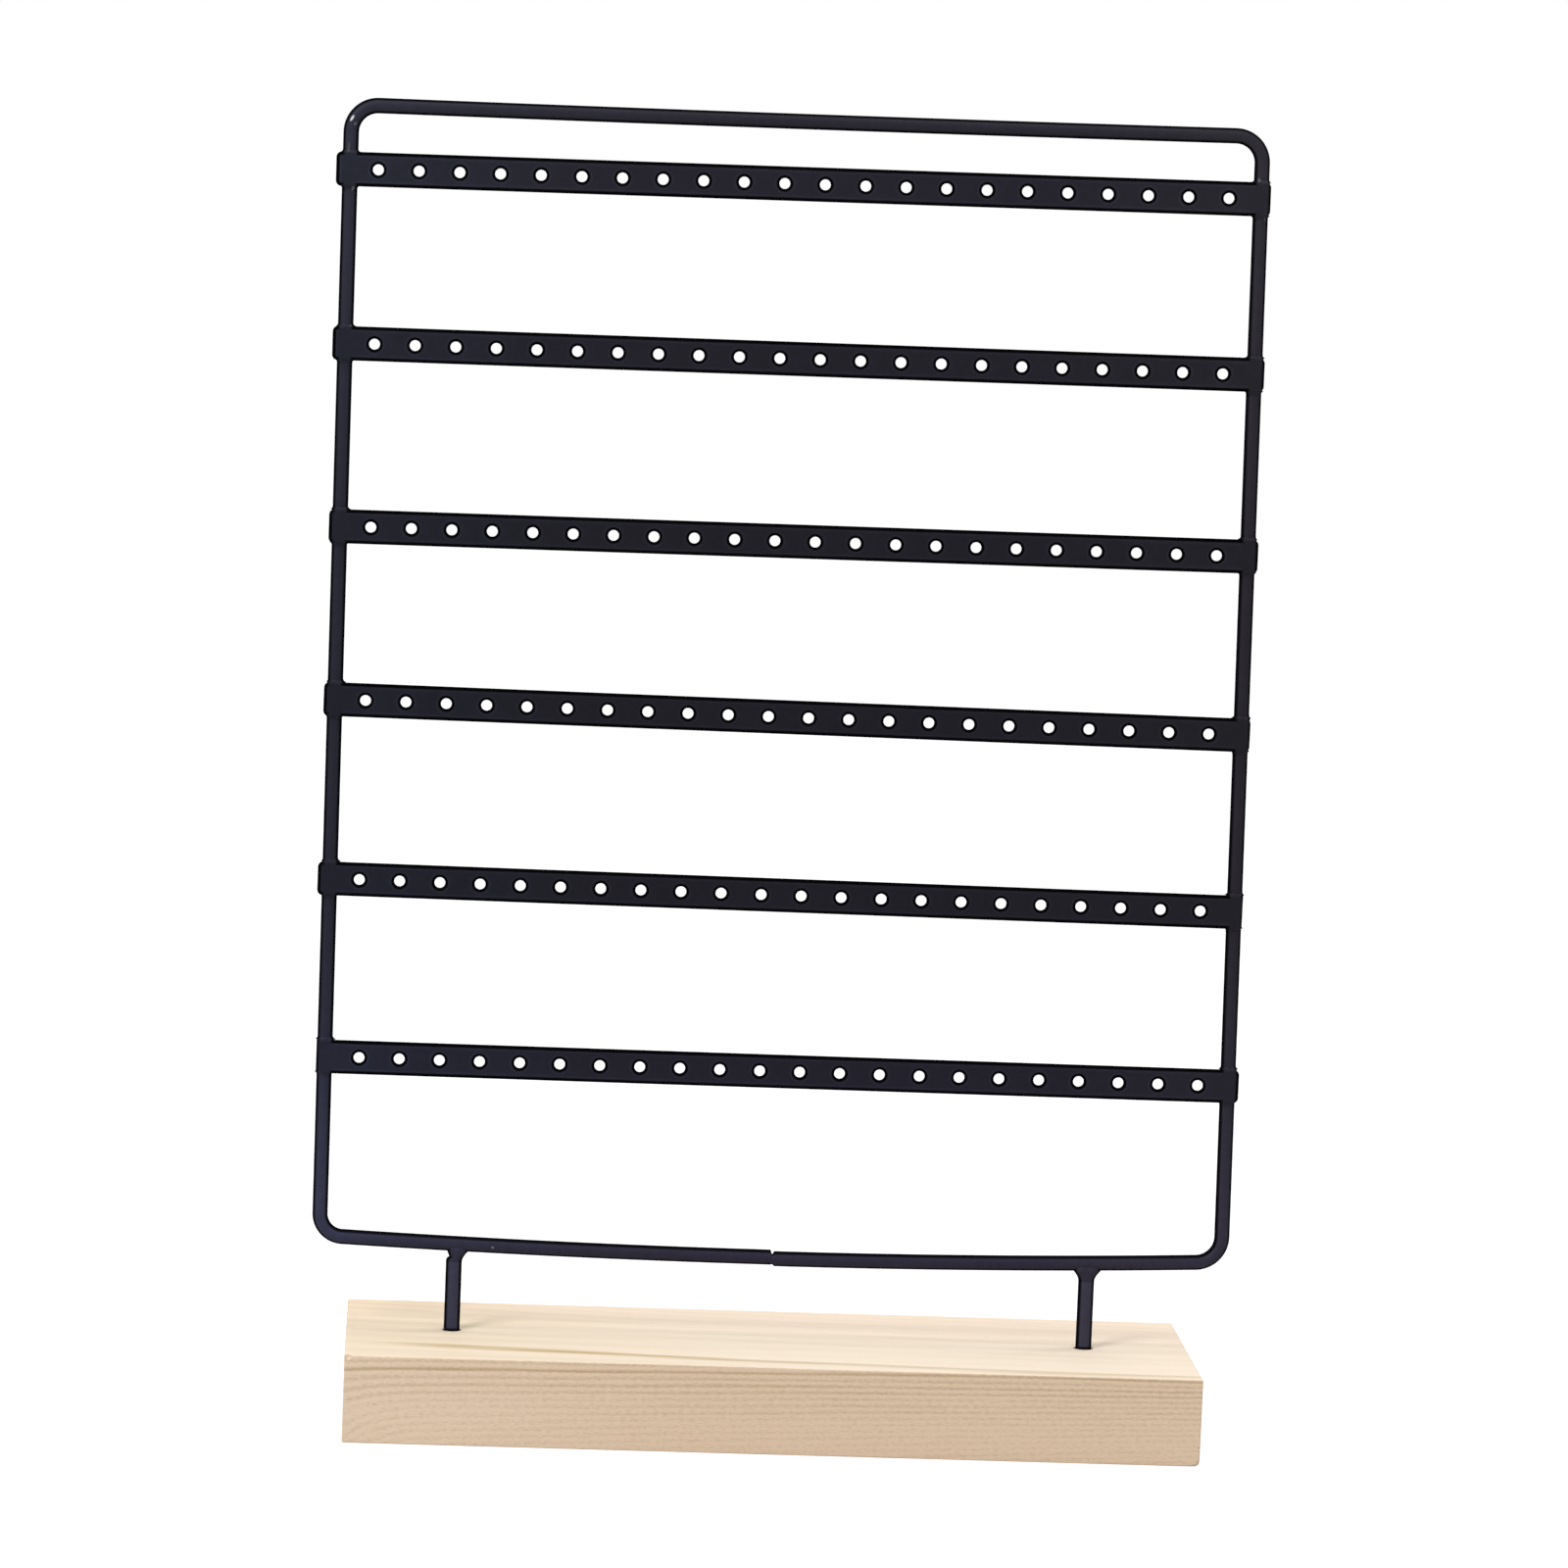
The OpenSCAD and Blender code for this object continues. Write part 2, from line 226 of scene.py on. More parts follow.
class Shell:
    """A closed surface made of grids of points. Grids that share an edge share its points."""

    def __init__(self):
        self.points = []
        self.quads = []
        self.painted_shade = []
        self.count = 0

    def add(self, grid, dark=0.0, around=False, keep=None):
        """Adds rows by columns of points with their painted shade, from 0 to 1. around joins the
        last column to the first, and keep says which cells of the grid have a face."""
        rows, columns = grid.shape[:2]
        place = self.count + np.arange(rows * columns).reshape(rows, columns)
        if around:
            place = np.concatenate([place, place[:, :1]], axis=1)
        corners = [place[:-1, :-1], place[:-1, 1:], place[1:, 1:], place[1:, :-1]]
        quads = np.stack(corners, axis=-1)
        self.quads.append(quads.reshape(-1, 4) if keep is None else quads[keep])
        self.points.append(grid.reshape(-1, 3))
        self.painted_shade.append(np.broadcast_to(dark, (rows, columns)).reshape(-1))
        self.count += rows * columns
        return self

    def mesh(self, name, placed=None):
        """Makes the mesh. placed moves the points from where they are worked out to where they
        belong, and each point keeps its first place as the attribute local."""
        first = np.concatenate(self.points)
        points = first if placed is None else placed(first)
        quads = np.concatenate(self.quads)
        mesh = bpy.data.meshes.new(name)
        mesh.vertices.add(len(points))
        mesh.vertices.foreach_set("co", points.astype(np.float32).ravel())
        mesh.loops.add(quads.size)
        mesh.loops.foreach_set("vertex_index", quads.astype(np.int32).ravel())
        mesh.polygons.add(len(quads))
        mesh.polygons.foreach_set("loop_start", np.arange(0, quads.size, 4, dtype=np.int32))
        mesh.update(calc_edges=True)
        # The attribute dark holds each point's painted shade
        dark = mesh.attributes.new("dark", "FLOAT", "POINT")
        dark.data.foreach_set("value", np.concatenate(self.painted_shade).astype(np.float32))
        local = mesh.attributes.new("local", "FLOAT_VECTOR", "POINT")
        local.data.foreach_set("vector", first.astype(np.float32).ravel())
        merged = bmesh.new()
        merged.from_mesh(mesh)
        bmesh.ops.remove_doubles(merged, verts=merged.verts, dist=MERGE)
        unused = [v for v in merged.verts if not v.link_faces]
        bmesh.ops.delete(merged, geom=unused, context="VERTS")
        bmesh.ops.recalc_face_normals(merged, faces=merged.faces)
        merged.to_mesh(mesh)
        merged.free()
        mesh.polygons.foreach_set("use_smooth", np.ones(len(mesh.polygons), bool))
        mesh.update()
        return mesh


def add_piece(name, shell, material, slot, *nodes, placed=None):
    """Shows a shell as a piece of the stand, in the place of the nodes that it stands for."""
    mesh = shell.mesh(name.replace("_", " "), placed)
    mesh.materials.append(material)
    piece = bpy.data.objects.new(name, mesh)
    bpy.context.scene.collection.objects.link(piece)
    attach(piece, "root")
    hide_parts(*nodes)


def grid_of(*numbers):
    """Points from arrays of their numbers, such as x, y and z. An array of one row, one column or
    one value spreads over the others."""
    return np.stack(np.broadcast_arrays(*numbers), axis=-1)


def rectangle_ring(across, up):
    """The points where grid lines meet a rectangle's outline, once round from its lower right."""
    sides = (
        (across[-1], up[:-1]),
        (across[:0:-1], up[-1]),
        (across[0], up[:0:-1]),
        (across[:-1], up[0]),
    )
    return np.concatenate([grid_of(*side) for side in sides])


def smooth(value, low, high):
    """Rises from 0 at low to 1 at high and is level at both: 3 t^2 - 2 t^3 of the way t."""
    way = np.clip((value - low) / (high - low), 0, 1)
    return way * way * (3 - 2 * way)


def hollow(way):
    """Falls from 1 at 0 to 0 at 1 as a hollow quarter circle does: 1 - sqrt(1 - (1 - t)^2)."""
    return 1 - np.sqrt(np.clip(1 - (1 - way) ** 2, 0, 1))


def quarter(steps):
    """Sines and cosines of the angles of a quarter turn."""
    angles = np.linspace(0, np.pi / 2, steps + 1)
    return np.sin(angles), np.cos(angles)


def turns(steps):
    """Angles all the way round, without the last."""
    return np.arange(steps) * 2 * np.pi / steps


def circle(steps):
    """Sines and cosines of those angles."""
    return np.sin(turns(steps)), np.cos(turns(steps))


def unit(vectors):
    """Vectors of length 1 with the same directions. A zero vector stays as it is."""
    lengths = np.linalg.norm(vectors, axis=-1, keepdims=True)
    return vectors / np.where(lengths > 0, lengths, 1)


def closed(reach, along):
    """A tube's radii and places, with a ring of radius 0 at each end that closes it."""
    point = np.zeros((1, reach.shape[1]))
    return np.concatenate([point, reach, point]), np.concatenate([along[:1], along, along[-1:]])


def painted_flank_shade(sideways, clear=0.54, dark=0.8):
    """Painted shade of a round wire's surface: it grows where the surface turns to the side."""
    return smooth(np.abs(sideways), clear, dark)


def painted_rim_shade(across, dark=0.5 * MM, clear=1.1 * MM):
    """Painted shade of a flared ring: a line as wide all the way up, along the ring's own outline.
    It grows with the nearness to the widest point on the same side."""
    widest = np.where(across > 0, across.max(axis=1)[:, None], -across.min(axis=1)[:, None])
    return 1 - smooth(widest - np.abs(across), dark, clear)


# The frame's wire


def side_x(s, side, height):
    """A side wire's middle line: a straight line from the bottom corner to the top corner."""
    up = (height - s.bottom) / (s.top - s.bottom)
    return -s.lean * up + side * (s.half_bottom - up * s.taper / 2)


def frame_corners(s):
    """The four corners as crossings of the middle lines, from bottom right and round."""
    top_half = s.half_bottom - s.taper / 2
    return [
        (s.half_bottom, s.bottom),
        (top_half - s.lean, s.top + s.rise / 2),
        (-top_half - s.lean, s.top - s.rise / 2),
        (-s.half_bottom, s.bottom),
    ]


def bow(s, side, shares):
    """One half of the bottom wire: a parabola from the butt weld up to a corner, as points."""
    start_z = s.bottom - s.sag - side * s.butt_step / 2
    across = s.butt + shares * (side * s.half_bottom - s.butt)
    return grid_of(across, start_z + shares**2 * (s.bottom - start_z))


def bottom_wire_z(s, x):
    """Height of the bottom wire's middle line at a place along it."""
    side = 1 if x > s.butt else -1
    way = (x - s.butt) / (side * s.half_bottom - s.butt)
    return float(bow(s, side, np.array([way]))[0, 1])


def wire_path(s, bow_steps=16, bow_end=0.9, arc_steps=20, run_steps=40):
    """The wire's middle line in the plane of the frame, from the butt weld round to the right.
    Each corner is an arc that touches both runs: it starts R tan(a / 2) before their crossing,
    for a bend of radius R that turns by a. The last corner has a radius of its own. The bow
    ends a little short of its corners, and the top run hangs in a parabola."""
    first = (s.butt_width / 2) / (s.half_bottom - s.butt)
    right = bow(s, 1, np.linspace(first, bow_end, bow_steps))
    left = bow(s, -1, np.linspace(bow_end, first, bow_steps))
    crossings = np.array([right[-1], *frame_corners(s), left[0]])
    bends = (s.bend, s.bend, s.bend, s.last_bend)
    parts = [right]
    for before, corner, after, bend in zip(crossings, crossings[1:], crossings[2:], bends):
        into = unit(corner - before)
        turn = np.arccos(np.dot(into, unit(after - corner)))
        start = corner - into * bend * np.tan(turn / 2)
        outward = np.array([into[1], -into[0]])
        angles = np.linspace(0, turn, arc_steps + 1)[:, None]
        arc = start - outward * bend + bend * (outward * np.cos(angles) + into * np.sin(angles))
        run = arc[0] - parts[-1][-1]
        if np.linalg.norm(run) > s.half_bottom / 2:
            ways = np.linspace(0, 1, run_steps + 1)[1:-1, None]
            parts.append(parts[-1][-1] + ways * run)
        parts.append(arc)
    path = np.concatenate([*parts, left])
    way = (path[:, 0] + s.lean) / (s.half_bottom - s.taper / 2 - s.bend)
    path[:, 1] -= s.top_sag * np.clip(1 - way**2, 0, 1) * (path[:, 1] > s.top - s.bend)
    return path


def wire_shell(s, cap_rows=6):
    """A circle carried along the wire's path, square to it. At both ends the radius is drawn in
    by a quarter circle, r - c + c sin b at c (1 - cos b) along, and closed in the middle."""
    path = wire_path(s)
    steps = np.diff(path, axis=0)
    tangents = unit(np.concatenate([steps[:1], steps[:-1] + steps[1:], steps[-1:]]))
    radius = s.diameter / 2
    sines, cosines = quarter(cap_rows)
    cap_radii = np.concatenate([[0], radius - s.end_round + s.end_round * sines])
    cap_steps = np.concatenate([[0], s.end_round * (1 - cosines)])[:, None]
    start = path[:1] + cap_steps * tangents[:1]
    end = path[-1:] - cap_steps * tangents[-1:]
    centres = np.concatenate([start, path[1:-1], end[::-1]])
    repeats = np.ones(len(path), int)
    repeats[[0, -1]] = len(cap_steps)
    along = np.repeat(tangents, repeats, axis=0)
    radii = np.concatenate([cap_radii, np.full(len(path) - 2, radius), cap_radii[::-1]])[:, None]
    across, depth = circle(s.steps)
    x = centres[:, :1] + radii * across * along[:, 1:]
    z = centres[:, 1:] - radii * across * along[:, :1]
    # Painted shade on the wire's flanks
    return Shell().add(grid_of(x, -radii * depth, z), painted_flank_shade(across), around=True)


# The perforated strips


def strip_shell(s, cell_steps=12, rim_rows=5, end_columns=3, corner_columns=8, edge_rows=6):
    """A flat bar with a row of holes, about its own middle, its back face at y = 0.
    Each hole has a cell of rings, blended from the cell's rectangle to the hole's circle, and a
    rim of two quarter circles. The bar's outline is a rectangle with round corners, and its
    edge is that outline moved out by r sin a while it goes back by r (1 - cos a)."""
    shell = Shell()
    half_height = s.height / 2 - s.edge
    half_length = s.length / 2 - s.edge
    half_cell = s.pitch / 2
    corner_angle = np.arctan2(half_height, half_cell)
    top_angle = np.pi / 2 - corner_angle
    side_z = half_cell * np.tan(np.linspace(-corner_angle, corner_angle, cell_steps + 1))
    top_x = half_height * np.tan(np.linspace(-top_angle, top_angle, cell_steps + 1))
    rectangle = rectangle_ring(top_x, side_z)
    rays = unit(rectangle)
    near_share = 0.04
    near = rectangle + near_share * ((s.hole / 2 + s.rim) * rays - rectangle)
    sines, cosines = quarter(rim_rows)
    rim_radii = s.hole / 2 + s.rim * (1 - sines)
    rim_depths = -s.rim * (1 - cosines)
    circles = [radius * rays for radius in np.concatenate([rim_radii, rim_radii[::-1]])]
    rings = np.stack([rectangle, near, *circles, near, rectangle])
    face_depths = [-s.thickness] * 2
    depths = np.concatenate([[0, 0], rim_depths, -s.thickness - rim_depths[::-1], face_depths])
    centres = (np.arange(s.holes) - (s.holes - 1) / 2) * s.pitch
    for centre in centres:
        shell.add(grid_of(rings[..., 0] + centre, depths[:, None], rings[..., 1]), around=True)

    # The flat ends beyond the last holes, as columns that follow the round corners
    arc_r = s.corner - s.edge
    sines, cosines = quarter(corner_columns)
    straight = np.linspace(s.holes * half_cell, half_length - arc_r, end_columns + 1)[:-1]
    end_x = np.concatenate([straight, half_length - arc_r * (1 - sines)])
    full_halves = np.full(end_columns, half_height)
    end_half = np.concatenate([full_halves, half_height - arc_r * (1 - cosines)])
    rows = side_z / side_z[-1]
    for side in SIDES.values():
        for depth in (0, -s.thickness):
            shell.add(grid_of(side * end_x[:, None], depth, end_half[:, None] * rows))

    # The rounded edge, carried round the outline: each point's x, z and the normal's x and z
    lean = np.concatenate([np.zeros(end_columns), sines])
    rise = np.concatenate([np.ones(end_columns), cosines])
    cells_x = (centres[:, None] + top_x[:-1]).ravel()[1:]
    upper = np.concatenate(
        [
            grid_of(-end_x, end_half, -lean, rise)[::-1],
            grid_of(cells_x, half_height, 0, 1),
            grid_of(end_x, end_half, lean, rise),
        ]
    )
    right = grid_of(end_x[-1], end_half[-1] * rows[-2:0:-1], 1, 0)
    lower = upper[::-1] * (1, -1, 1, -1)
    left = right[::-1] * (-1, 1, -1, 1)
    x, z, normal_x, normal_z = np.concatenate([upper, right, lower, left]).T
    sines, cosines = quarter(edge_rows)
    out = s.edge * np.concatenate([sines, sines[::-1]])[:, None]
    back = s.edge * (1 - cosines)
    depth = np.concatenate([back - s.thickness, -back[::-1]])[:, None]
    return shell.add(grid_of(x + out * normal_x, depth, z + out * normal_z), around=True)


def strip_place(tier, end_from=100 * MM):
    """A strip's place, read from its node: the middle of its back face, and its tilt, which is
    that of the line between the middles of its two ends."""
    low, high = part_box(f"hook_strip_{tier}")
    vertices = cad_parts[f"hook_strip_{tier}"].data.vertices
    points = np.empty(3 * len(vertices))
    vertices.foreach_get("co", points)
    points = points.reshape(-1, 3)
    middle = (low + high) / 2
    left, right = (points[side * (points[:, X] - middle.x) > end_from] for side in (-1, 1))
    line = right.min(axis=0) + right.max(axis=0) - left.min(axis=0) - left.max(axis=0)
    return np.array([middle.x, high.y, middle.z]), np.arctan2(line[Z], line[X])


def tilted(middle, tilt):
    """Turns points by the tilt in the plane of the frame and moves them to a middle point."""

    def place(points):
        moved = points.copy()
        moved[:, X] = points[:, X] * cos(tilt) - points[:, Z] * sin(tilt)
        moved[:, Z] = points[:, X] * sin(tilt) + points[:, Z] * cos(tilt)
        return moved + middle

    return place


# Welds


def strip_weld_shell(s, weld, strips, side, tier):
    """The weld of a strip and a side wire: rings round the wire, of radius r + f(z) g(a).
    f is a hollow fillet from the strip's edge to the weld's tip, and stays about half behind
    the strip. g has one lobe in front of the wire and one on each side, and sinks below the
    wire's surface at the back. Behind the strip the rings stay short of its front face."""
    radius = s.diameter / 2
    edge = strips.height / 2
    tip = 1.25
    nearly = 0.999
    crowding = 1.6
    rows = 9
    away = np.concatenate([[tip], 1 - nearly * quarter(rows)[0][:-1] ** crowding, [0]])
    fillet = np.where(away < 1, hollow(np.clip(away, 0, 1)), 0)
    overlap = 0.05 * MM
    inset = 0.3 * MM
    half_fillet = 0.45
    heights = edge - overlap + away * weld.spread
    behind = np.linspace(edge - inset, inset - edge, rows)
    along = np.concatenate([heights, behind, -heights[::-1]])
    swell = np.concatenate([fillet, np.full(len(behind), half_fillet), fillet[::-1]])

    lobe = (-0.1, 0.85)
    front_leg = 0.55 * MM
    front_lobe = (0.0, 0.9)
    back_edge = (-0.55, 0.1)
    across, depth = circle(s.steps)
    inward = -side * across
    sides = np.maximum(weld.leg * smooth(inward, *lobe), weld.outer_leg * smooth(-inward, *lobe))
    lobes = np.maximum(sides, front_leg * smooth(depth, *front_lobe)) * smooth(depth, *back_edge)
    lumps = ((3, 0.1), (7, 0.06))
    phases = np.random.default_rng(tier * 10 + side).uniform(0, 2 * np.pi, len(lumps))
    ripple = 1
    for (count, swing), phase in zip(lumps, phases):
        ripple = ripple + swing * np.sin(count * turns(s.steps) + phase)
    sunk = 0.04 * MM
    reach = radius - sunk + swell[:, None] * lobes * ripple

    margin = 0.1 * MM
    hidden = np.abs(along) < edge - margin
    front_limit = radius + strips.thickness / 2
    least_depth = 0.1
    forward = np.where(hidden[:, None] & (depth > 0), reach * depth, 0)
    reach = np.where(forward > front_limit, front_limit / np.maximum(depth, least_depth), reach)
    reach, along = closed(reach, along)
    grid = grid_of(reach * across, -reach * depth, along[:, None])
    # Painted shade on the weld's flanks
    return Shell().add(grid, painted_flank_shade(across), around=True)


def butt_weld_shell(s, rows=25):
    """A short barrel along the wire between its two ends, a little thinner than the wire, which
    steps down from the one end's height to the other's. On top the joint isn't filled: there
    its radius sinks in a V, by d (1 - |x| / w), and a little on the other side."""
    overlap = 0.1 * MM
    sunk = 0.05 * MM
    notch_half = 0.55 * MM
    notch_depth = 1.05 * MM
    under_depth = 0.3 * MM
    top_side = (0.1, 0.95)
    lower_side = (0.4, 0.95)
    half = s.butt_width / 2 + s.end_round + overlap
    along = np.linspace(-half, half, rows)
    notch = np.clip(1 - np.abs(along) / notch_half, 0, 1)
    across, depth = circle(s.steps)
    on_top = notch_depth * smooth(across, *top_side)
    below = under_depth * smooth(-across, *lower_side)
    reach = s.diameter / 2 - sunk - notch[:, None] * (on_top + below)
    reach, along = closed(reach, along[:, None])
    middle_z = s.bottom - s.sag - s.butt_step / 2 * along / half
    grid = grid_of(s.butt + along, -reach * depth, middle_z + reach * across)
    # Painted shade on the weld's flanks
    return Shell().add(grid, painted_flank_shade(across), around=True)


def neck_gap(depth, most_shaded_height, turn=1.6 * MM, shoulder=1.2 * MM, start=0.3):
    """How far the left post's neck is drawn in at a depth below the wire: a straight slope in
    from a start, as a share of the gap, down to the turn, then a hollow out to the shoulder."""
    slope = most_shaded_height * (start + (1 - start) * np.clip(depth / turn, 0, 1))
    rise = most_shaded_height * hollow(np.clip((depth - turn) / shoulder, 0, 1))
    return np.where(depth < turn, slope, rise)


def post_weld_shell(s, weld, posts, side, rows=29, top_rows=7):
    """The flared collar at a post's top: rings of radius r + w t^p |sin a|^q of the way t up the
    collar, where w is a little more on the right. Above the wire's underside the rings
    narrow, front and back, into the wire. On the left post's outer side the collar is drawn in
    instead, by a gap that the weld left open."""
    place = side * POST_X
    wire_r = s.diameter / 2
    wire_z = bottom_wire_z(s, place)
    under = wire_z - wire_r
    foot = under - weld.flare_height
    below_middle = 0.8 * MM
    top = wire_z - below_middle
    upper = np.linspace(under, top, top_rows)[1:]
    heights = np.concatenate([np.linspace(foot, under, rows), upper])
    across, depth = circle(s.steps)
    hug = 0.02 * MM
    fullness = 1.06
    more_on_right = 0.03
    pinch = 1.5
    steepness = 1.7
    inner_r = posts.diameter / 2 + hug
    flare = weld.flare * (fullness + more_on_right * across) * np.abs(across) ** pinch
    curve = np.clip((heights - foot) / (under - foot), 0, 1) ** steepness
    radii = inner_r + curve[:, None] * flare
    if side < 0:
        open_side = (0.15, 0.8)
        outer = smooth(-across, *open_side)
        neck = inner_r - neck_gap(np.clip(under - heights, 0, None), posts.undercut)
        radii = radii * (1 - outer) + neck[:, None] * outer
    radii, heights = closed(radii, heights[:, None])
    inset = 0.05 * MM
    top_depth = sqrt(wire_r**2 - below_middle**2) - inset
    over = np.clip((heights - under) / (top - under), 0, 1)
    squeeze = 1 - (1 - top_depth / inner_r) * over**pinch
    x = place + radii * across
    grid = grid_of(x, -radii * depth * squeeze, heights)
    # Painted shade along the collar's outline
    return Shell().add(grid, painted_rim_shade(x - place), around=True)


# The posts


def post_shell(s, weld, posts, side, rounding=0.4 * MM, round_rows=6, shaft_rows=120):
    """A round bar turned about its upright axis, with a rounded foot and a rounded shoulder. It
    has a painted contact shadow just above the block. The left one ends in its weld, whose collar
    is its neck."""
    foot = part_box("post_left" if side < 0 else "post_right")[0].z
    block_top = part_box("base_block")[1].z
    place = side * POST_X
    radius = posts.diameter / 2
    under = bottom_wire_z(s, place) - s.diameter / 2
    in_collar = 0.85 * weld.flare_height
    in_wire = 0.5 * MM
    top = under - in_collar if side < 0 else under + in_wire
    sines, cosines = quarter(round_rows)
    foot_z = foot + rounding * (1 - cosines)
    shaft_z = np.linspace(foot_z[-1], top - rounding, shaft_rows)[1:-1]
    foot_r = radius - rounding * (1 - sines)
    shaft_r = np.full(len(shaft_z), radius)
    radii = np.concatenate([[0], foot_r, shaft_r, foot_r[::-1], [0]])[:, None]
    head_z = top - rounding * (1 - sines)
    heights = np.concatenate([[foot], foot_z, shaft_z, head_z, [top]])[:, None]
    across, depth = circle(s.steps)
    # Painted contact shadow just above the block, and painted shade on the flanks
    foot_shadow_band = (0.35 * MM, 1.0 * MM)
    painted_foot_shadow = 1 - smooth(heights - block_top, *foot_shadow_band)
    grid = grid_of(place + radii * across, -radii * depth, heights)
    return Shell().add(grid, np.maximum(painted_flank_shade(across), painted_foot_shadow), around=True)


# The pine block


def graded(low, high, near_low, near_high, stops, step):
    """Grid lines from low to high: close together at both ends, through each of the stops,
    and evenly spaced, at most a step apart, in between."""
    starts = low + np.array(near_low) * MM
    ends = high - np.array(near_high[::-1]) * MM
    fixed = np.concatenate([[starts[-1]], stops, [ends[0]]])
    slack = 1e-6
    parts = [starts]
    for before, after in zip(fixed, fixed[1:]):
        count = max(1, int(np.ceil((after - before) / step - slack)))
        parts.append(np.linspace(before, after, count + 1)[1:])
    return np.concatenate(parts + [ends[1:]])


def push_out(points, centre, radius):
    """Moves the points inside a ball out to its surface, straight away from its middle."""
    offset = points - centre
    distance = np.linalg.norm(offset, axis=-1, keepdims=True)
    inside = (distance < radius) & (distance > 0)
    return np.where(inside, centre + radius * unit(offset), points)


def block_form(s, low, high, worn_reach=2.2 * MM, dent_out=0.1 * MM, splinter_share=0.6):
    """The rounding and the marks of use, as one function of a point of the plain box. A point is
    pulled to r from the box drawn in by r: inner + r (p - inner) / |p - inner|, where r is the
    easing and grows at the worn corner. The chip, with a splinter below it, and the dent then
    push points out of balls."""
    worn = np.array([high.x, low.y, low.z])
    corner = np.array([low.x, low.y, high.z])
    chip = corner + np.array([0.9, -0.45, -0.25]) * s.chip
    splinter = corner + np.array([0.1, -0.2, -1.1]) * s.chip
    dent = np.array([high.x + dent_out, low.y, s.dent_height])

    def form(points):
        distance = np.linalg.norm((points - worn) / worn_reach, axis=-1, keepdims=True)
        radius = s.easing + s.wear * np.exp(-(distance**2))
        inner = np.clip(points, np.array(low) + radius, np.array(high) - radius)
        eased = push_out(inner + radius * unit(points - inner), chip, s.chip)
        eased = push_out(eased, splinter, splinter_share * s.chip)
        return push_out(eased, dent, s.dent)

    return form


# Distances in millimetres from a box's corner to its first grid lines
FINE = (0, 0.08, 0.2, 0.35, 0.5, 0.7, 0.9, 1.1, 1.35, 1.65, 2.0, 2.5, 3.2, 4.2)
# How many of them are enough at an edge behind
COARSE = 5


def block_shell(s, half_square=4 * MM, segments=8, step=2.6 * MM, up_step=1.2 * MM, rim_rows=5):
    """Six grids of a box on shared lines, bent by block_form. Round each post's hole the top's
    cells give way to rings, blended from a square to the hole's circle, that go down to the
    floor of the blind hole."""
    low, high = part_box("base_block")
    shell = Shell()
    form = block_form(s, low, high)
    posts = [side * POST_X for side in SIDES.values()]
    middle = np.linspace(-half_square, half_square, segments + 1)
    stops = [np.linspace(x - half_square, x + half_square, segments + 1) for x in posts]
    dent_reach = 1.2 * s.dent
    dent_rows = 13
    dent = s.dent_height + np.linspace(-1, 1, dent_rows) * dent_reach
    across = graded(low.x, high.x, FINE, FINE, np.concatenate(stops), step)
    depth = graded(low.y, high.y, FINE, FINE[:COARSE], middle, step)
    height = graded(low.z, high.z, FINE, FINE, dent, up_step)

    middle_x = (across[1:] + across[:-1]) / 2
    middle_y = (depth[1:] + depth[:-1]) / 2
    near_post = np.min([np.abs(middle_x - x) for x in posts], axis=0) < half_square
    solid = ~(near_post[:, None] & (np.abs(middle_y) < half_square))
    shell.add(form(grid_of(across[:, None], depth, high.z)), keep=solid)
    shell.add(form(grid_of(across[:, None], depth, low.z)))
    for y in (low.y, high.y):
        shell.add(form(grid_of(across[:, None], y, height)))
    for x in (low.x, high.x):
        shell.add(form(grid_of(x, depth[:, None], height)))

    square = rectangle_ring(middle, middle)
    rays = unit(square)
    rim = 0.3 * MM
    hole_r = s.hole / 2
    sines, cosines = quarter(rim_rows)
    radii = np.concatenate([hole_r + rim * (1 - sines), [hole_r, 0]])
    falls = np.concatenate([[0, 0], rim * (1 - cosines), [s.hole_depth, s.hole_depth]])[:, None]
    half_way = (square + (hole_r + rim) * rays) / 2
    rings = np.stack([square, half_way, *(radius * rays for radius in radii)])
    for x in posts:
        shell.add(grid_of(x + rings[..., 0], rings[..., 1], high.z - falls), around=True)
    return shell


# Materials


def pair(operation):
    """An operator of the class Socket that adds a Math node, and its reflected form."""

    def forward(self, other):
        return self.maths(operation, self, other)

    def reflected(self, other):
        return self.maths(operation, other, self)

    return forward, reflected


class Socket:
    """An output of a node. Python's operators on it add Math nodes."""

    def __init__(self, nodes, link):
        self.nodes = nodes
        self.link = link

    def maths(self, operation, *values):
        """A Math node of these values."""
        inputs = dict(enumerate(values))
        return self.nodes.add("ShaderNodeMath", {"operation": operation}, inputs)[0]

    __add__, __radd__ = pair("ADD")
    __sub__, __rsub__ = pair("SUBTRACT")
    __mul__, __rmul__ = pair("MULTIPLY")
    __truediv__, __rtruediv__ = pair("DIVIDE")
    __pow__, __rpow__ = pair("POWER")

    def __abs__(self):
        return self.maths("ABSOLUTE", self)

    def floor(self):
        """The whole number below."""
        return self.maths("FLOOR", self)

    def root(self):
        """The square root."""
        return self.maths("SQRT", self)

    def most(self, other):
        """The greater of two values."""
        return self.maths("MAXIMUM", self, other)

    def least(self, other):
        """The smaller of two values."""
        return self.maths("MINIMUM", self, other)

    def clamped(self, low=0, high=1):
        """The value, held between low and high."""
        return self.most(low).least(high)

    def rise(self, low, high):
        """Rises smoothly from 0 at low to 1 at high."""
        settings = {"interpolation_type": "SMOOTHSTEP"}
        values = {"Value": self, "From Min": low, "From Max": high}
        return self.nodes.add("ShaderNodeMapRange", settings, values)[0]

    def fall(self, low, high):
        """Falls smoothly from 1 at low to 0 at high."""
        return 1 - self.rise(low, high)


class Node:
    """A node whose outputs are found by place, name or identifier."""

    def __init__(self, nodes, node):
        self.nodes = nodes
        self.node = node

    def __getitem__(self, key):
        return Socket(self.nodes, find_socket(self.node.outputs, key))


def find_socket(sockets, key):
    """A node's socket by its place, its identifier or its name."""
    if isinstance(key, int):
        return sockets[key]
    return next(s for s in sockets if key in (s.identifier, s.name))


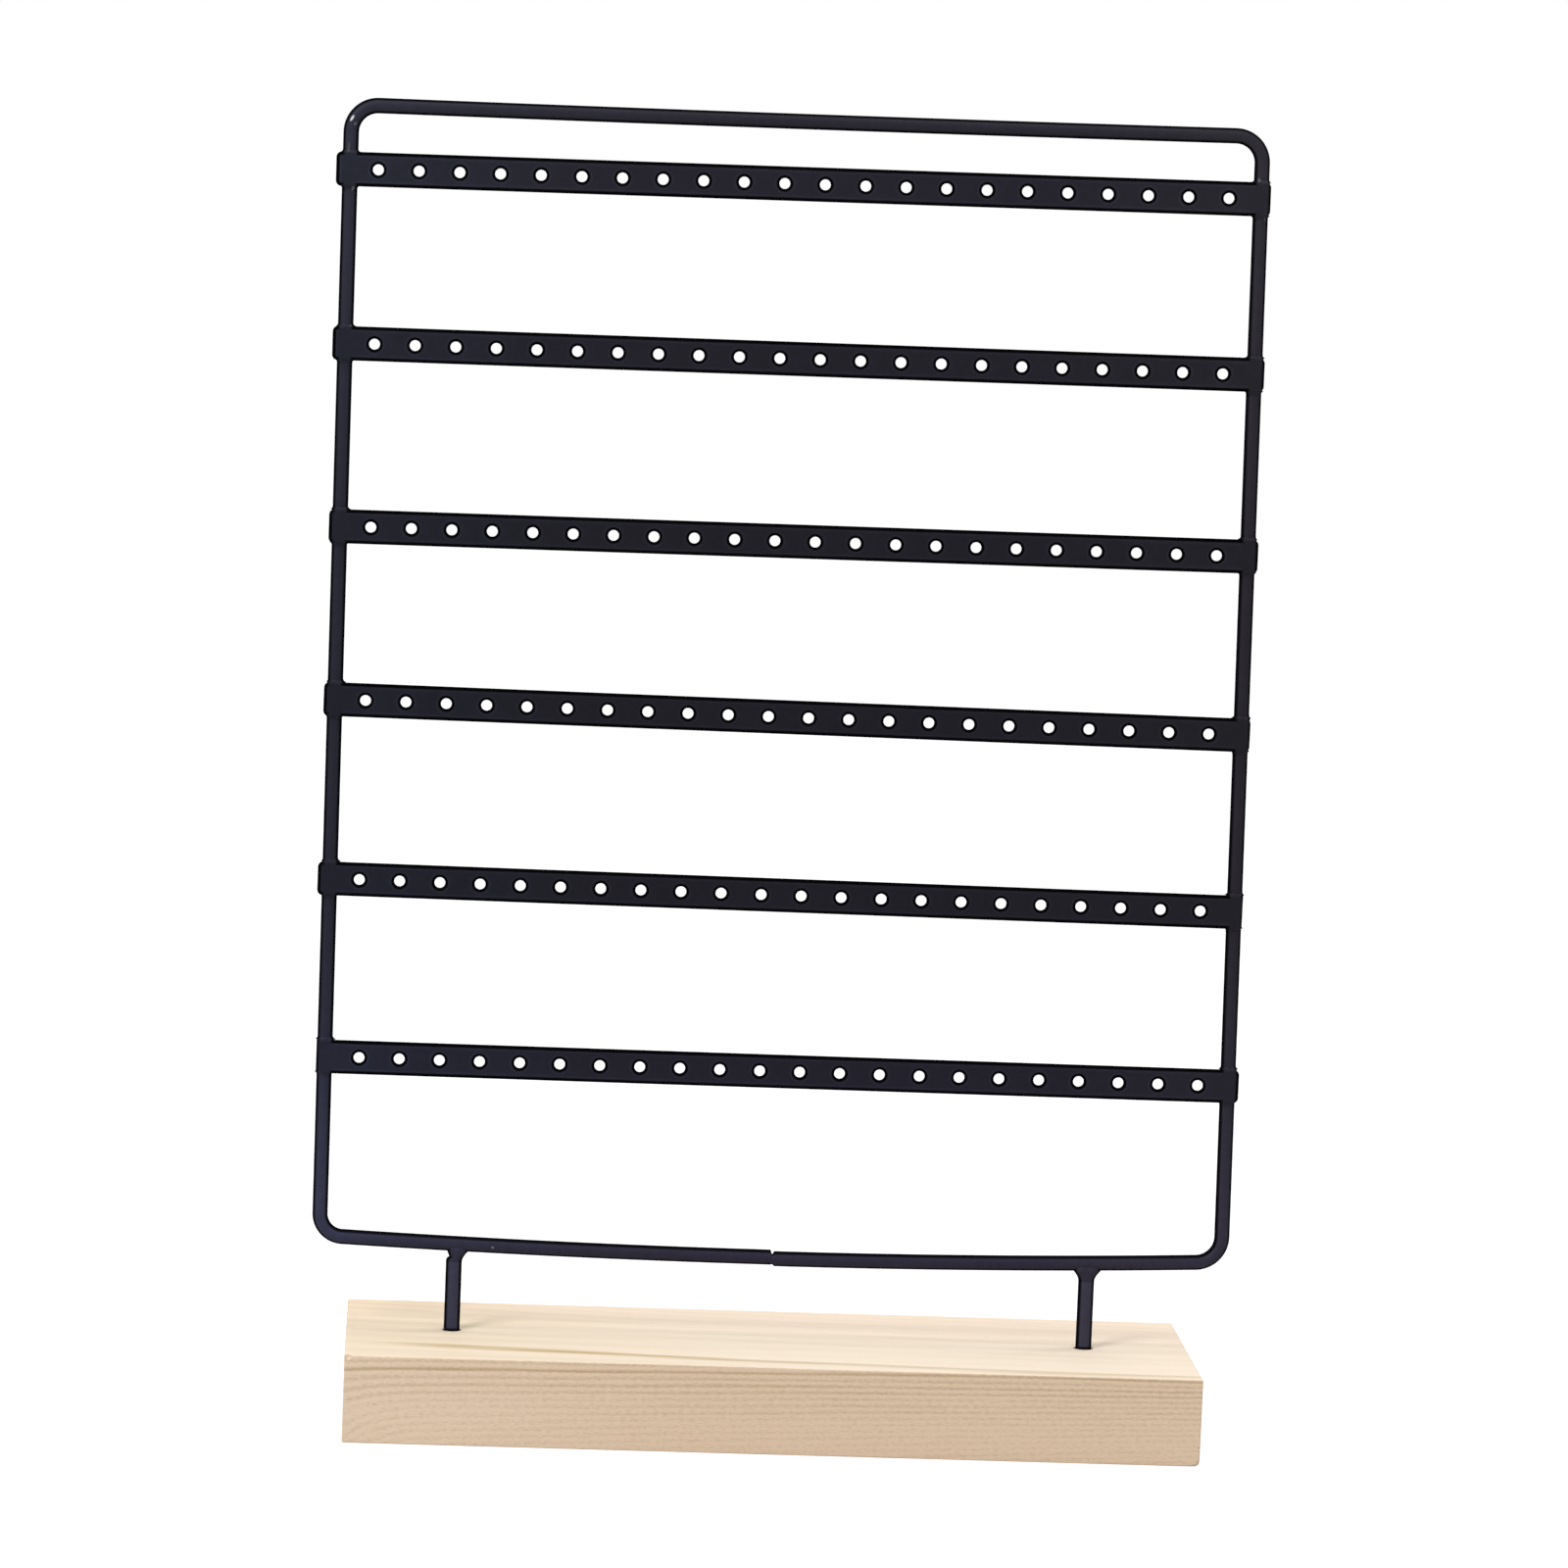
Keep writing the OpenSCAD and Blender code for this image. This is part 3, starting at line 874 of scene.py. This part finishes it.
class Nodes:
    """The node tree of a material or of the world, emptied, with one method that adds a node."""

    def __init__(self, tree):
        self.tree = tree
        tree.nodes.clear()

    def add(self, kind, settings=None, values=None):
        """Adds a node: its settings are set first, then the values or links of its inputs.
        An input whose value is None is left as it is."""
        node = self.tree.nodes.new(kind)
        for key, value in (settings or {}).items():
            setattr(node, key, value)
        for key, value in (values or {}).items():
            if value is None:
                continue
            socket = find_socket(node.inputs, key)
            if isinstance(value, Socket):
                self.tree.links.new(value.link, socket)
            else:
                socket.default_value = value
        return Node(self, node)

    def place_mm(self):
        """The point's place in the stand's frame, in millimetres, and its three numbers."""
        return self.in_mm(self.add("ShaderNodeTexCoord")["Object"])

    def in_mm(self, place):
        """A place in metres turned to millimetres, and its three numbers."""
        scaled = self.vector("SCALE", place, scale=1 / MM)
        parts = self.add("ShaderNodeSeparateXYZ", {}, {0: scaled})
        return scaled, parts["X"], parts["Y"], parts["Z"]

    def vector(self, operation, first, second=None, scale=None):
        """A Vector Math node."""
        values = {0: first, 1: second, "Scale": scale}
        return self.add("ShaderNodeVectorMath", {"operation": operation}, values)["Vector"]

    def noise(self, vector, scale, detail=2.0, roughness=0.5):
        """Soft noise about 0.5, with features of about 1 / scale."""
        values = {"Vector": vector, "Scale": scale, "Detail": detail, "Roughness": roughness}
        return self.add("ShaderNodeTexNoise", {"noise_dimensions": "3D"}, values)[0]

    def attribute(self, name):
        """A mesh attribute's node."""
        return self.add("ShaderNodeAttribute", {"attribute_name": name})

    def mix(self, factor, first, second):
        """A mix of two colours."""
        values = {"Factor_Float": factor, "A_Color": first, "B_Color": second}
        return self.add("ShaderNodeMix", {"data_type": "RGBA"}, values)["Result_Color"]

    def shader(self, values, bump=None, strength=0.0, distance=0.0):
        """The material's Principled surface, with bump if a height is given."""
        normal = None
        if bump is not None:
            heights = {"Height": bump, "Strength": strength, "Distance": distance}
            normal = self.add("ShaderNodeBump", {}, heights)["Normal"]
        surface = self.add("ShaderNodeBsdfPrincipled", {}, {**values, "Normal": normal})
        self.add("ShaderNodeOutputMaterial", {}, {"Surface": surface["BSDF"]})


def tinted(tone, red=1.0, green=1.0, blue=1.0):
    """A colour setting as a node's colour, with its channels scaled."""
    return (tone[0] * red, tone[1] * green, tone[2] * blue, 1.0)


def new_material(name):
    """A material with an empty node tree."""
    material = bpy.data.materials.new(name)
    material.use_nodes = True
    return material, Nodes(material.node_tree)


def coat_tone(nodes, face, place, x, z):
    """The coat's colour. Its own tone is bluer towards the left end and greyer and lighter towards
    the right, bluer below a middle height, and has soft clouds. Painted shade makes it deepest at
    that middle height, lighter above it and below it and most of all in the lowest left corner, and
    it is deeper on the bottom and top wires."""
    drift = 90
    left_end = (-135, -35)
    right_end = (50, 135)
    cool = tinted(face, 1.14, 1.3, 1.36)
    grey = tinted(face, 1.24, 1.22, 1.1)
    moved = x + drift * (nodes.noise(place, scale=0.035) - 0.5)
    tone = nodes.mix(moved.fall(*left_end), tinted(face), cool)
    tone = nodes.mix(moved.rise(*right_end), tone, grey)
    most_shaded_height = 170
    reach_down = 120
    reach_up = 180
    low = ((most_shaded_height - z) / reach_down).clamped()
    high = ((z - most_shaded_height) / reach_up).clamped()
    bluer = (0.93, 0.93, 1.15)
    tone = nodes.mix(low, tone, nodes.vector("MULTIPLY", tone, bluer))

    shaded_middle_level = 0.69
    painted_light_above = 0.43
    painted_light_below = 0.66
    mottled = 0.45
    corner_x = (-128, -100)
    painted_light_corner = 0.3
    bottom_wire = (50, 60)
    deeper_bottom = 0.17
    top_wire = (349, 357)
    deeper_top = 0.14
    # Painted shade: least light at a middle height, more above and below it and in the lowest left
    # corner
    level = shaded_middle_level + painted_light_above * high * high + painted_light_below * low * low
    clouds = mottled * (nodes.noise(place, scale=0.45, detail=3.0, roughness=0.6) - 0.5)
    corner = painted_light_corner * low * low * x.fall(*corner_x)
    wires = deeper_bottom * z.fall(*bottom_wire) + deeper_top * z.rise(*top_wire)
    level = level * (1 + clouds) * (1 + corner) * (1 - wires)
    return nodes.vector("SCALE", tone, scale=level)


def coat_surface(nodes, s, tone, dark, edge, place):
    """The baked coat: painted shade makes it near black where dark says, and its skin has a fine
    orange peel.
    """
    finer = 0.35
    peel = nodes.noise(place, scale=1.6) + finer * nodes.noise(place, scale=5.0)
    nodes.shader(
        {
            "Base Color": nodes.mix(dark, tone, tinted(edge)),
            "Roughness": 0.6,
            "Specular IOR Level": 0.0,
            "Coat Weight": s.gloss * (1 - dark),
            "Coat Roughness": s.roughness,
        },
        bump=peel, strength=0.25, distance=0.05 * MM,
    )


def strip_coat(coat, strips, wire):
    """The coat on the strips. A strip's own place gives the distance to its outline, that of a
    rectangle with round corners, and to the nearest hole. Both have a line of painted shade with a
    band of painted light beside it, and the outline's breaks off where the weld runs into the wire."""
    material, nodes = new_material("strip coat")
    place, along, _, up = nodes.place_mm()
    _, x, _, z = nodes.in_mm(nodes.attribute("local")["Vector"])
    corner = strips.corner / MM
    past_x = abs(x) - (strips.length / MM / 2 - corner)
    past_z = abs(z) - (strips.height / MM / 2 - corner)
    out_x = past_x.most(0)
    out_z = past_z.most(0)
    inside = corner - (out_x * out_x + out_z * out_z).root() - past_x.most(past_z).least(0)
    pitch = strips.pitch / MM
    nearest = (x / pitch).floor().clamped(-strips.holes / 2, strips.holes / 2 - 1)
    from_x = (x / pitch - 0.5 - nearest) * pitch
    from_hole = (from_x * from_x + z * z).root() - strips.hole / MM / 2
    waviness = 0.16
    wobble = waviness * (nodes.noise(place, scale=0.5) - 0.5)
    from_line = inside + wobble - coat.edge_width / MM
    from_ring = from_hole + wobble - coat.hole_shade_width / MM

    way_up = (up - wire.bottom / MM) / ((wire.top - wire.bottom) / MM)
    half = wire.half_bottom / MM - way_up * (wire.taper / MM / 2)
    from_wire = abs(abs(along + way_up * (wire.lean / MM)) - half)
    weld_reach = (1.2, 2.1)
    edge_softness = (-0.25, 0.2)
    ring_softness = (-0.15, 0.15)
    halo_width = (0.1, 1.0)
    lightening = 0.4
    past_weld = 4
    # Painted shade along the outline and round each hole, with a band of painted light beside them
    welded = from_wire.fall(*weld_reach)
    painted_edge_shade = from_line.fall(*edge_softness) * (1 - welded)
    painted_hole_shade = from_ring.fall(*ring_softness)
    beside = (from_line + past_weld * welded).least(from_ring)
    painted_halo_light = lightening * beside.fall(*halo_width)
    tone = coat_tone(nodes, coat.strip, place, along, up)
    tone = nodes.vector("SCALE", tone, scale=1 + painted_halo_light)
    coat_surface(nodes, coat, tone, painted_edge_shade.most(painted_hole_shade), coat.edge, place)
    return material


# Places on the front of the wires: a scratch on the top left bend, its bright white a painted
# highlight, and painted highlights on the wires: x, z, half length, half width, lean in degrees,
# and how bright the place is
SCRATCH_AND_PAINTED_GLINTS = (
    (-125.6, 355.5, 1.0, 0.34, 59, 0.8),
    (-124.7, 354.0, 0.5, 0.3, 59, 0.16),
    (-126.3, 347.4, 1.9, 0.3, 88, 0.09),
    (-124.8, 336.6, 0.6, 0.4, 60, 0.2),
    (121.0, 348.2, 0.6, 0.35, 100, 0.16),
    (123.1, 337.6, 0.5, 0.3, 80, 0.1),
    (-124.2, 299.3, 0.5, 0.35, 90, 0.12),
    (-77.0, 47.6, 0.4, 0.35, 0, 0.2),
)


def scratch_and_painted_glints(nodes, tone, x, y, z):
    """The coat's colour with its marks: a scratch and painted highlights. A mark is an ellipse, at
    sqrt(a^2 + c^2) < 1 for the distances a along it and c across it, as shares of its half
    length and half width."""
    front_half = (-1.2, -0.4)
    front = y.fall(*front_half)
    outline = (0.5, 1.2)
    bluer = 1.04
    for mark_x, mark_z, length, width, lean, bright in SCRATCH_AND_PAINTED_GLINTS:
        right = x - mark_x
        up = z - mark_z
        turn = radians(lean)
        along = (right * cos(turn) + up * sin(turn)) / length
        across = (up * cos(turn) - right * sin(turn)) / width
        mask = (along * along + across * across).root().fall(*outline) * front
        tone = nodes.mix(mask, tone, (bright, bright, bright * bluer, 1.0))
    return tone


def wire_coat(name, coat, face):
    """The coat on the wires, posts and welds: painted shade makes it near black on the flanks, by
    the attribute dark, and it has a scratch and painted highlights."""
    material, nodes = new_material(name)
    place, x, y, z = nodes.place_mm()
    tone = scratch_and_painted_glints(nodes, coat_tone(nodes, face, place, x, z), x, y, z)
    coat_surface(nodes, coat, tone, nodes.attribute("dark")["Fac"], coat.flank_shade_colour, place)
    return material


def pine(s, low, high):
    """Planed pine. Its growth rings lie round a line far above and in front of the block, so they
    rise slowly towards the back. Along the block they rise to the right, where they also lie
    closer together, and dip at the left end. They are strong near the top edge of the upright
    faces and faint on the flat top, and one ring is the strongest and has resin's colour. The
    fibres run along the block. The top is yellower in places on the left and deeper at the back,
    and the end grain is deeper too. The upright faces are deeper and browner, less so on the
    left: partly the wood's tone and partly painted shade."""
    material, nodes = new_material("planed pine")
    place, x, y, z = nodes.place_mm()

    def streaks(along, across, detail=2.0, roughness=0.5):
        """Noise about 0 whose features are about 1 / along long and 1 / across wide."""
        stretched = nodes.vector("MULTIPLY", place, (along, across, across))
        return nodes.noise(stretched, 1.0, detail, roughness) - 0.5

    # How far a point lies below the ring through the front's top edge, and its ring's number
    height = high.z / MM
    pith = 700.0
    slope = radians(9.4)
    deepest_dip = 6.5
    dip_start = 88.0
    dip_power = 1.5
    never_none = 0.001
    left = ((-dip_start - x) / (-low.x / MM - dip_start)).clamped()
    down = (1 - z / height).clamped(never_none, 1)
    dip = deepest_dip * left * left * left * down**dip_power
    from_y = y - low.y / MM + pith * sin(slope)
    from_z = height - z - dip + pith * cos(slope)
    depth = (from_y * from_y + from_z * from_z).root() - pith
    middle_depth = 1.5
    climb = 0.0137
    bend = 0.00005
    narrowing = 0.0029
    waviness = 0.7
    phase = 0.6
    first = middle_depth - climb * x + bend * x * x
    width = s.ring / MM - narrowing * x
    wave = waviness * streaks(along=0.012, across=0.12)
    count = (depth - first) / width + wave + phase
    number = count.floor()
    part = count - number

    # Which face the point is on
    towards_flat = (0.75, 0.97)
    towards_end = (0.5, 0.9)
    left_part = (-115, -10)
    outward = nodes.add("ShaderNodeNewGeometry")["Normal"]
    normal = nodes.add("ShaderNodeSeparateXYZ", {}, {0: outward})
    flat = abs(normal["Z"]).rise(*towards_flat)
    upright = 1 - flat
    end_grain = abs(normal["X"]).rise(*towards_end)
    to_left = x.fall(*left_part)

    # The rings' dark bands, by the place between two rings
    band_rise = (0.05, 0.6)
    band_fall = (0.63, 0.98)
    band_strength = 0.29
    band_varies = 0.18
    upper_part = (height * 0.3, height * 0.9)
    on_lower_part = 0.36
    on_top = 0.17
    on_top_left = 0.15
    by_number = {"noise_dimensions": "1D"}
    strength = nodes.add("ShaderNodeTexWhiteNoise", by_number, {"W": number})["Value"]
    patchy = streaks(along=0.02, across=0.3)
    upper = z.rise(*upper_part)
    fade = upright * (on_lower_part + (1 - on_lower_part) * upper)
    fade = fade + flat * (on_top + on_top_left * to_left)
    late = part.rise(*band_rise) * part.fall(*band_fall)
    band = late * (band_strength + band_varies * strength) * fade * (1 + patchy)

    # The strongest ring's line, which begins on top away from the left end
    line_rise = (0.25, 0.6)
    line_fall = (0.6, 0.85)
    line_start = (-114, -82)
    right_part = (-20, 60)
    line_strength = 0.34
    more_on_top = 0.06
    more_to_left = 0.3
    line_level = 0.95
    line_varies = 1.3
    strongest = (1 - abs(number).clamped()) * part.rise(*line_rise) * part.fall(*line_fall)
    on_flat = flat * (more_on_top + more_to_left * x.fall(*right_part))
    line = strongest * (line_strength + on_flat) * (1 - flat * x.fall(*line_start))
    line = line * (line_level + line_varies * patchy)

    # Fibres, and the colours that they are laid over
    fibre = streaks(along=0.06, across=1.9, detail=4.0, roughness=0.65)
    fine = streaks(along=0.7, across=1.9, detail=3.0, roughness=0.6)
    broad = streaks(along=0.012, across=0.4, detail=3.0, roughness=0.7)
    upright_grain = 0.36 * fibre + fine
    flat_grain = 0.45 * broad + 0.2 * fine
    grain = upright_grain * upright + flat_grain * flat
    drift = 120
    yellow_part = (-130, 0)
    back_part = (-5, 36)
    end_tint = 0.3
    yellow = tinted(s.early, 0.965, 0.94, 0.87)
    resin = tinted(s.late, 0.94, 0.87, 0.53)
    at_back = (1.0, 0.965, 0.955)
    front_right = (0.945, 0.85, 0.765, 1.0)
    front_left = (1.0, 0.915, 0.85, 1.0)
    cloud = drift * streaks(along=0.01, across=0.05)
    pale = (x + cloud).rise(*yellow_part).most(upright)
    early = nodes.mix(pale, yellow, tinted(s.early))
    tone = nodes.mix((band + grain).clamped(), early, tinted(s.late))
    tone = nodes.mix(line.clamped(), tone, resin)
    deeper = nodes.vector("MULTIPLY", tone, at_back)
    tone = nodes.mix(flat * y.rise(*back_part), tone, deeper)
    # The upright faces: painted shade together with the wood's browner tone, less on the left
    upright_tone_and_shade = nodes.mix(to_left, front_right, front_left)
    tone = nodes.mix(upright, tone, nodes.vector("MULTIPLY", tone, upright_tone_and_shade))
    nodes.shader(
        {
            "Base Color": nodes.mix(end_tint * end_grain, tone, tinted(s.late)),
            "Roughness": 0.68 + 0.15 * fibre,
            "Specular IOR Level": 0.3,
        },
        bump=0.6 * fine + fibre - 0.8 * (band + line), strength=0.35, distance=0.08 * MM,
    )
    return material


def material_once(name, make, *values):
    """A material by name, made the first time that a piece asks for it."""
    return bpy.data.materials.get(name) or make(*values)


def round_coat(scene, part):
    """The coat on the wire and its welds, or on the posts, whose lighter face is painted light."""
    coat = scene.stand_coat
    name = f"{part} coat"
    return material_once(name, wire_coat, name, coat, getattr(coat, part))


# Operators


class StandOperator:
    """What the stand's operators share."""

    bl_options = {"REGISTER", "UNDO"}

    def add_pair(self, scene, form, piece, part, node):
        """Adds the left and the right piece of a kind, at the two posts."""
        for name, side in SIDES.items():
            shell = form(scene.stand_wire, scene.stand_welds, scene.stand_posts, side)
            coat = round_coat(scene, part)
            add_piece(f"{piece}_{name}", shell, coat, "wire_coat", f"{node}_{name}")


class STAND_OT_frame_wire(StandOperator, Operator):
    """Bend the frame's wire"""

    bl_idname = "stand.frame_wire"
    bl_label = "Frame wire"

    def execute(self, context):
        scene = context.scene
        shell = wire_shell(scene.stand_wire)
        add_piece("wire_loop", shell, round_coat(scene, "wire"), "wire_coat", "frame_rod")
        return {"FINISHED"}


class STAND_OT_butt_weld(StandOperator, Operator):
    """Close the wire in the middle of its bottom run"""

    bl_idname = "stand.butt_weld"
    bl_label = "Butt weld"

    def execute(self, context):
        scene = context.scene
        shell = butt_weld_shell(scene.stand_wire)
        coat = round_coat(scene, "wire")
        add_piece("ground_butt_weld", shell, coat, "wire_coat", "frame_butt_weld")
        return {"FINISHED"}


class STAND_OT_hook_strips(StandOperator, Operator):
    """Make the six perforated strips"""

    bl_idname = "stand.hook_strips"
    bl_label = "Hook strips"

    def execute(self, context):
        scene = context.scene
        strips = scene.stand_strips
        shell = strip_shell(strips)
        coat = material_once("strip coat", strip_coat, scene.stand_coat, strips, scene.stand_wire)
        for tier in TIERS:
            name = f"perforated_strip_{tier}"
            placed = tilted(*strip_place(tier))
            add_piece(name, shell, coat, "strip_coat", f"hook_strip_{tier}", placed=placed)
        return {"FINISHED"}


class STAND_OT_strip_welds(StandOperator, Operator):
    """Weld the strips to the side wires"""

    bl_idname = "stand.strip_welds"
    bl_label = "Strip welds"

    def execute(self, context):
        scene = context.scene
        wire = scene.stand_wire
        coat = round_coat(scene, "wire")
        for name, side in SIDES.items():
            for tier in TIERS:
                middle, tilt = strip_place(tier)
                joint = np.array([side_x(wire, side, middle[Z]), 0.0, middle[Z]])
                joint[Z] += (joint[X] - middle[X]) * tilt
                shell = strip_weld_shell(wire, scene.stand_welds, scene.stand_strips, side, tier)
                piece = f"fillet_{name}_{tier}"
                node = f"strip_weld_{name}_{tier}"
                add_piece(piece, shell, coat, "wire_coat", node, placed=tilted(joint, tilt))
        return {"FINISHED"}


class STAND_OT_posts(StandOperator, Operator):
    """Set the two posts in the block"""

    bl_idname = "stand.posts"
    bl_label = "Posts"

    def execute(self, context):
        # The posts take the lighter post coat: painted light
        self.add_pair(context.scene, post_shell, "round_post", "post", "post")
        return {"FINISHED"}


class STAND_OT_post_welds(StandOperator, Operator):
    """Weld the posts to the bottom wire"""

    bl_idname = "stand.post_welds"
    bl_label = "Post welds"

    def execute(self, context):
        self.add_pair(context.scene, post_weld_shell, "flared_weld", "wire", "post_weld")
        return {"FINISHED"}


class STAND_OT_pine_block(StandOperator, Operator):
    """Cut the pine block"""

    bl_idname = "stand.pine_block"
    bl_label = "Pine block"

    def execute(self, context):
        block = context.scene.stand_block
        wood = material_once("planed pine", pine, block, *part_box("base_block"))
        add_piece("pine_block", block_shell(block), wood, "pine", "base_block")
        return {"FINISHED"}


# The lamps: name, place, width and power in watts
LAMPS = (
    ("key lamp", (-1.35, -1.6, 1.7), 0.8, 26),
    ("back lamp", (1.6, 0.65, 1.5), 0.9, 9),
    ("top lamp", (0, -0.1, 2.2), 1.4, 22),
)
# The point that they face
LAMP_TARGET = Vector((0, 0, 0.15))


def area_light(name, place, width, power):
    """A square lamp."""
    data = bpy.data.lights.new(name, "AREA")
    data.energy = power
    data.size = width
    lamp = bpy.data.objects.new(name, data)
    lamp.location = place
    lamp.rotation_euler = (LAMP_TARGET - Vector(place)).to_track_quat("-Z", "Y").to_euler()
    bpy.context.scene.collection.objects.link(lamp)


def seen_directly(nodes):
    """1 for what the camera, a reflection or a clear surface sees, and 0 for other light."""
    path = nodes.add("ShaderNodeLightPath")
    seen = path["Is Camera Ray"].most(path["Is Glossy Ray"])
    return seen.most(path["Is Transmission Ray"])


class STAND_OT_stage(StandOperator, Operator):
    """Set up the camera, the floor, the lamps and the white surroundings"""

    bl_idname = "stand.stage"
    bl_label = "Stage"

    def execute(self, context):
        scene = context.scene
        s = scene.stand_stage
        view = bpy.data.cameras.new("camera")
        view.lens = s.lens
        view.sensor_width = 36
        view.clip_end = 100
        camera = bpy.data.objects.new("camera", view)
        camera.location = s.camera
        camera.rotation_euler = s.turn
        scene.collection.objects.link(camera)
        scene.camera = camera
        scene.view_settings.view_transform = "Standard"

        world = scene.world or bpy.data.worlds.new("surroundings")
        scene.world = world
        world.use_nodes = True
        nodes = Nodes(world.node_tree)
        seen = seen_directly(nodes)
        white = (1.0, 1.0, 1.0, 1.0)
        strength = s.ambient + seen * (1 - s.ambient)
        background = nodes.add("ShaderNodeBackground", {}, {"Color": white, "Strength": strength})
        nodes.add("ShaderNodeOutputWorld", {}, {"Surface": background["Background"]})

        half = 20.0
        below = -0.02 * MM
        corners = [(x * half, y * half, below) for x, y in ((-1, -1), (1, -1), (1, 1), (-1, 1))]
        mesh = bpy.data.meshes.new("floor")
        mesh.from_pydata(corners, [], [(0, 1, 2, 3)])
        material, nodes = new_material("floor")
        seen = seen_directly(nodes)
        pale = (0.6, 0.6, 0.6, 1)
        grey = (0.3, 0.3, 0.3, 1)
        glow = 0.9
        plain = nodes.add("ShaderNodeBsdfDiffuse", {}, {"Color": pale})["BSDF"]
        shaded = nodes.add("ShaderNodeBsdfDiffuse", {}, {"Color": grey})["BSDF"]
        bright = nodes.add("ShaderNodeEmission", {}, {"Color": white, "Strength": glow})["Emission"]
        shown = nodes.add("ShaderNodeAddShader", {}, {0: shaded, 1: bright})["Shader"]
        mixed = nodes.add("ShaderNodeMixShader", {}, {"Fac": seen, 1: plain, 2: shown})["Shader"]
        nodes.add("ShaderNodeOutputMaterial", {}, {"Surface": mixed})
        mesh.materials.append(material)
        floor = bpy.data.objects.new("floor", mesh)
        scene.collection.objects.link(floor)

        for lamp in LAMPS:
            area_light(*lamp)
        return {"FINISHED"}


OPERATORS = [
    STAND_OT_frame_wire,
    STAND_OT_butt_weld,
    STAND_OT_hook_strips,
    STAND_OT_strip_welds,
    STAND_OT_posts,
    STAND_OT_post_welds,
    STAND_OT_pine_block,
    STAND_OT_stage,
]


class STAND_PT_panel(Panel):
    """The stand's operators and settings in the sidebar"""

    bl_idname = "STAND_PT_panel"
    bl_label = "Earring display stand"
    bl_space_type = "VIEW_3D"
    bl_region_type = "UI"
    bl_category = "Stand"

    def draw(self, context):
        layout = self.layout
        for operator in OPERATORS:
            layout.operator(operator.bl_idname)
        for name in GROUPS:
            box = layout.box()
            box.label(text=GROUPS[name].__doc__)
            group = getattr(context.scene, name)
            for key in GROUPS[name].__annotations__:
                box.prop(group, key)


CLASSES = [*GROUPS.values(), *OPERATORS, STAND_PT_panel]


def register():
    for item in CLASSES:
        bpy.utils.register_class(item)
    for name, group in GROUPS.items():
        setattr(bpy.types.Scene, name, PointerProperty(type=group))


def unregister():
    for name in GROUPS:
        delattr(bpy.types.Scene, name)
    for item in reversed(CLASSES):
        bpy.utils.unregister_class(item)


def main():
    """Registers the add-on and builds every piece in order."""
    register()
    bpy.ops.stand.frame_wire()
    bpy.ops.stand.butt_weld()
    bpy.ops.stand.hook_strips()
    bpy.ops.stand.strip_welds()
    bpy.ops.stand.posts()
    bpy.ops.stand.post_welds()
    bpy.ops.stand.pine_block()
    bpy.ops.stand.stage()


if __name__ == "__main__":
    main()
